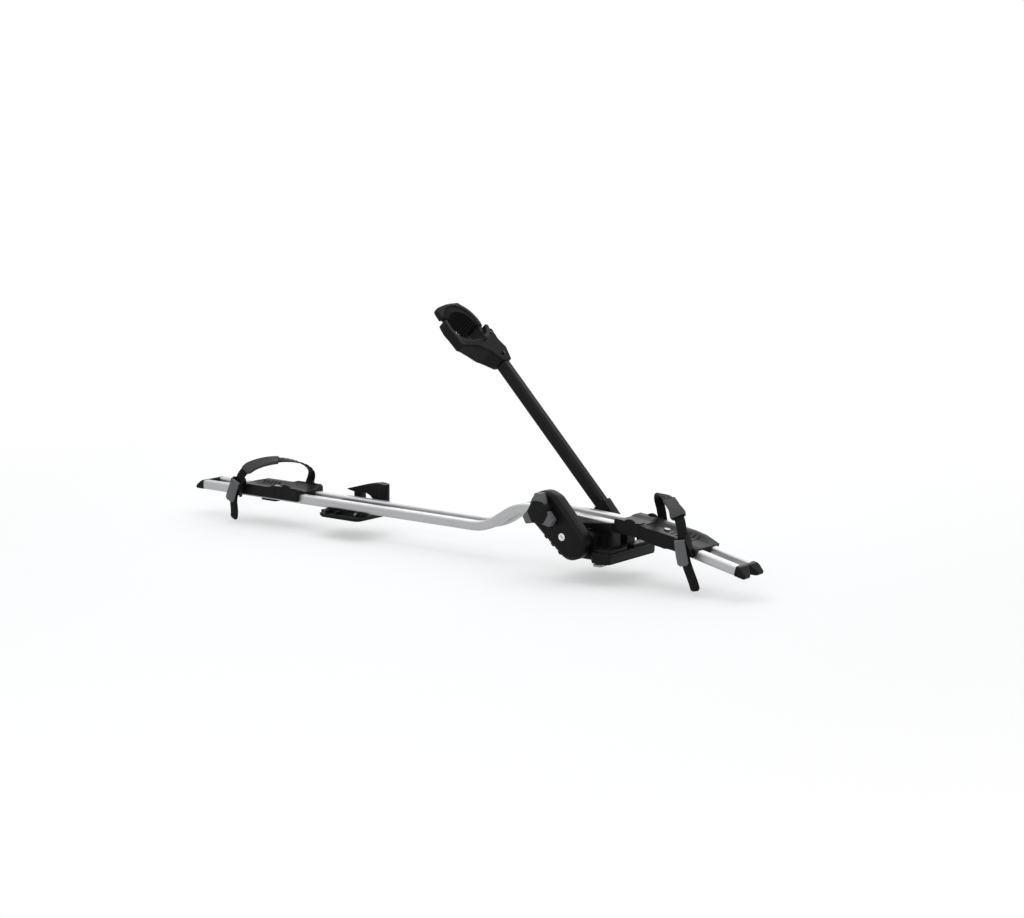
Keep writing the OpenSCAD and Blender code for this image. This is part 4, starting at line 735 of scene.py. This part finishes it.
def mould(name, cell, passes):
    """A copy of a node with an even skin and flowing edges, which stands for the node."""
    piece = merged_copy(name, "_moulded")
    skin = piece.modifiers.new("even_skin", "REMESH")
    skin.mode = "VOXEL"
    skin.voxel_size = cell
    bpy.ops.object.modifier_apply(modifier=skin.name)
    free = piece.vertex_groups.new(name="free_to_flow")
    for vert in piece.data.vertices:
        free.add([vert.index], freedom(vert.co), "REPLACE")
    flow = piece.modifiers.new("flow", "SMOOTH")
    flow.factor = flow_factor
    flow.iterations = passes
    flow.vertex_group = free.name
    bpy.ops.object.modifier_apply(modifier=flow.name)
    bpy.ops.object.shade_smooth()
    stand_for(piece, name)


for name in ("claw_palm", "claw_jaw"):
    mould(name, cell=0.0008, passes=110)
for name in ("front_end_cap", "rear_end_cap"):
    mould(name, cell=0.0007, passes=40)

# %% [markdown]
# ## Ribs in the trays
# The floor of a tray is a shallow valley, and low ribs across it keep what stands there from creeping. An
# Array modifier could repeat a rib, but each rib is to be a piece of its own. So one rib is modelled as a thin
# bar whose middle and ends are pushed up and down to follow the valley, its top edges are rounded, and copies
# of it are laid across both trays.

# %% Model one rib
rib_long, rib_wide, rib_deep, rib_high = 0.054, 0.0032, 0.0024, 0.001
rib_round, rib_cuts = 0.0008, 21
valley = ((0.0, 0.0030), (0.016, 0.0030), (0.037, 0.012))
one_rib = block("tray_rib", (rib_wide, rib_long, rib_deep))
bpy.ops.object.mode_set(mode="EDIT")
pick("EDGE", lambda e: span(e, Y) > rib_long / 2)
bpy.ops.mesh.subdivide(number_cuts=rib_cuts)
pick("EDGE", lambda e: all(v.co.z > 0 for v in e.verts) and span(e, X) < hair)
bpy.ops.mesh.bevel(offset=rib_round, segments=3, affect="EDGES")
bpy.ops.object.mode_set(mode="OBJECT")
for vert in one_rib.data.vertices:
    y = abs(vert.co.y)
    (y0, z0), (y1, z1) = valley[:2] if y < valley[1][0] else valley[1:]
    vert.co.z += z0 + (z1 - z0) * (y - y0) / (y1 - y0) + rib_high - rib_deep / 2
print("rib", len(one_rib.data.polygons), "faces")

# %% Lay ribs across both trays
first_rib, rib_pitch, rib_count = 0.112, 0.011, 5
for tray, body in tray_bodies.items():
    for number in range(rib_count):
        rib = twin(one_rib, f"{tray}_tray_rib_{number + 1}")
        along = Matrix.Translation((first_rib + rib_pitch * number, 0, 0))
        rib.data.transform(tray_frames[tray] @ along)
        if tray == "rear":
            rib.data.flip_normals()
        dress(rib, "moulded_black", body)
bpy.data.objects.remove(one_rib)
print("ribs laid:", rib_count * len(tray_bodies))

# %% [markdown]
# ## Snap hooks of the cover
# The cover of the knob's housing is held by small hooks along its lower edge, which show as a row of bumps
# under the slanting side. They could be drawn into the housing, but they are small and all alike, so one hook
# is a block with rounded edges, modelled once and copied along the edge.

# %% Find the cover's lower edge
pivot = Vector((-0.045, 0, 0.037))
low_out, high_out, edge_rise = 0.0345, 0.0435, 0.084
arm_along = Vector((-arm_out.z, 0, arm_out.x))
edge_low = pivot - arm_out * low_out
edge_high = pivot - arm_out * high_out + arm_along * edge_rise
cover = nodes["knob_cover"]
seam_y = max((cover.matrix_world @ Vector(c)).y for c in cover.bound_box)
print("hooks at y", round(seam_y, 4))

# %% Model and place the hooks
hook_size, hook_round = (0.006, 0.009, 0.0085), 0.0011
hook_sunk, hook_back, hook_smooth = 0.0015, 0.001, math.radians(40)
hook_shares = (0.02, 0.29, 0.54)
one_hook = block("cover_hook", hook_size)
bpy.ops.object.mode_set(mode="EDIT")
pick("EDGE", lambda e: True)
bpy.ops.mesh.bevel(offset=hook_round, segments=3, affect="EDGES")
bpy.ops.object.mode_set(mode="OBJECT")
bpy.ops.object.shade_smooth_by_angle(angle=hook_smooth)
for number, share in enumerate(hook_shares):
    hook = twin(one_hook, f"cover_hook_{number + 1}")
    spot = edge_low.lerp(edge_high, share) + arm_out * hook_sunk
    hook.data.transform(Matrix(((arm_out.x, 0, arm_along.x, spot.x), (0, 1, 0, seam_y + hook_back),
                                (arm_out.z, 0, arm_along.z, spot.z), (0, 0, 0, 1))))
    dress(hook, "moulded_black", cover["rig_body"])
bpy.data.objects.remove(one_hook)
print("hooks:", len(hook_shares))

# %% [markdown]
# ## The face of the knob
# The knob carries a dark front plate with six sides, and every second side faces a grip. A plain disc would
# look bare, and corners catch the light. A circle of six corners gives the plate: its corners are cut, the
# face is extruded to its thickness, inset and raised a little in the middle, and its edges are rounded.

# %% Model the plate
plate_r, plate_thick, corner_round = 0.0252, 0.0016, 0.0035
border, raised, rim_round = 0.004, 0.0007, 0.0006
plate_edge, plate_smooth = 0.8, math.radians(25)
bpy.ops.object.select_all(action="DESELECT")
bpy.ops.mesh.primitive_circle_add(vertices=6, radius=plate_r, fill_type="NGON")
knob_plate = bpy.context.object
knob_plate.name = "knob_front_plate"
for number, vert in enumerate(knob_plate.data.vertices):
    angle = math.radians(60 * number)
    vert.co = (plate_r * math.cos(angle), plate_r * math.sin(angle), 0)
bpy.ops.object.mode_set(mode="EDIT")
bpy.ops.mesh.select_all(action="SELECT")
bpy.ops.mesh.bevel(offset=corner_round, segments=3, affect="VERTICES")
bpy.ops.mesh.select_all(action="SELECT")
bpy.ops.mesh.extrude_region_move(TRANSFORM_OT_translate={"value": (0, 0, plate_thick)})
bpy.ops.mesh.inset(thickness=border)
bpy.ops.transform.translate(value=(0, 0, raised))
pick("EDGE", lambda e: all(abs(v.co.z - plate_thick) < hair / 10 for v in e.verts)
     and len(e.link_faces) == 2 and e.calc_face_angle(0) > plate_edge)
bpy.ops.mesh.bevel(offset=rim_round, segments=3, affect="EDGES")
bpy.ops.mesh.select_all(action="SELECT")
bpy.ops.mesh.normals_make_consistent(inside=False)
bpy.ops.object.mode_set(mode="OBJECT")
bpy.ops.object.shade_smooth_by_angle(angle=plate_smooth)
print("plate", len(knob_plate.data.polygons), "faces")

# %% Set the plate on the knob
knob_x, knob_z, plate_sunk = -0.106228, 0.094646, 0.001
knob = nodes["torque_knob"]
knob_front = min((knob.matrix_world @ Vector(c)).y for c in knob.bound_box)
face_near = Matrix(((1, 0, 0, knob_x), (0, 0, -1, knob_front + plate_sunk),
                    (0, 1, 0, knob_z), (0, 0, 0, 1)))
knob_plate.data.transform(face_near)
dress(knob_plate, "moulded_black", knob["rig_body"])
print("plate front at", round(min(v.co.y for v in knob_plate.data.vertices), 4))

# %% [markdown]
# ## The parting line of the front foot
# The front foot is moulded in two halves, and a fine line runs round it where they meet. A groove could be cut,
# but a raised bead catches the light in the same way and leaves the foot whole. A copy of the foot is bisected
# at the line's height, only the outer loop of the cut is kept, and a thin round bead is run along it.

# %% Cut out the outer loop
line_height = 0.0145
foot_line = twin(rounded["base_housing"], "foot_parting_line")
take(foot_line)
bpy.ops.object.mode_set(mode="EDIT")
bpy.ops.mesh.select_all(action="SELECT")
bpy.ops.mesh.bisect(plane_co=(0, 0, line_height), plane_no=(0, 0, 1), clear_inner=True, clear_outer=True)
bpy.ops.mesh.select_all(action="SELECT")
bpy.ops.mesh.remove_doubles(threshold=10 * hair)
bpy.ops.object.mode_set(mode="OBJECT")
near_most = min(v.co.y for v in foot_line.data.vertices)
bpy.ops.object.mode_set(mode="EDIT")
pick("VERT", lambda v: v.co.y < near_most + 10 * hair)
bpy.ops.mesh.select_linked()
bpy.ops.mesh.select_all(action="INVERT")
bpy.ops.mesh.delete(type="VERT")
bpy.ops.object.mode_set(mode="OBJECT")
print("loop of", len(foot_line.data.vertices), "corners")

# %% Run the bead along it
bead_radius = 0.0007
bpy.ops.object.convert(target="CURVE")
foot_line.data.bevel_depth = bead_radius
foot_line.data.bevel_resolution = 2
print("loops:", len(foot_line.data.splines), "closed:", all(s.use_cyclic_u for s in foot_line.data.splines))
bpy.ops.object.convert(target="MESH")
bpy.ops.object.shade_smooth()
dress(foot_line, "moulded_black", nodes["base_housing"]["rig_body"])
print("bead", len(foot_line.data.polygons), "faces")

# %% [markdown]
# ## The dressed carrier
# The carrier is dressed: every piece has its finish and is tied to its body.
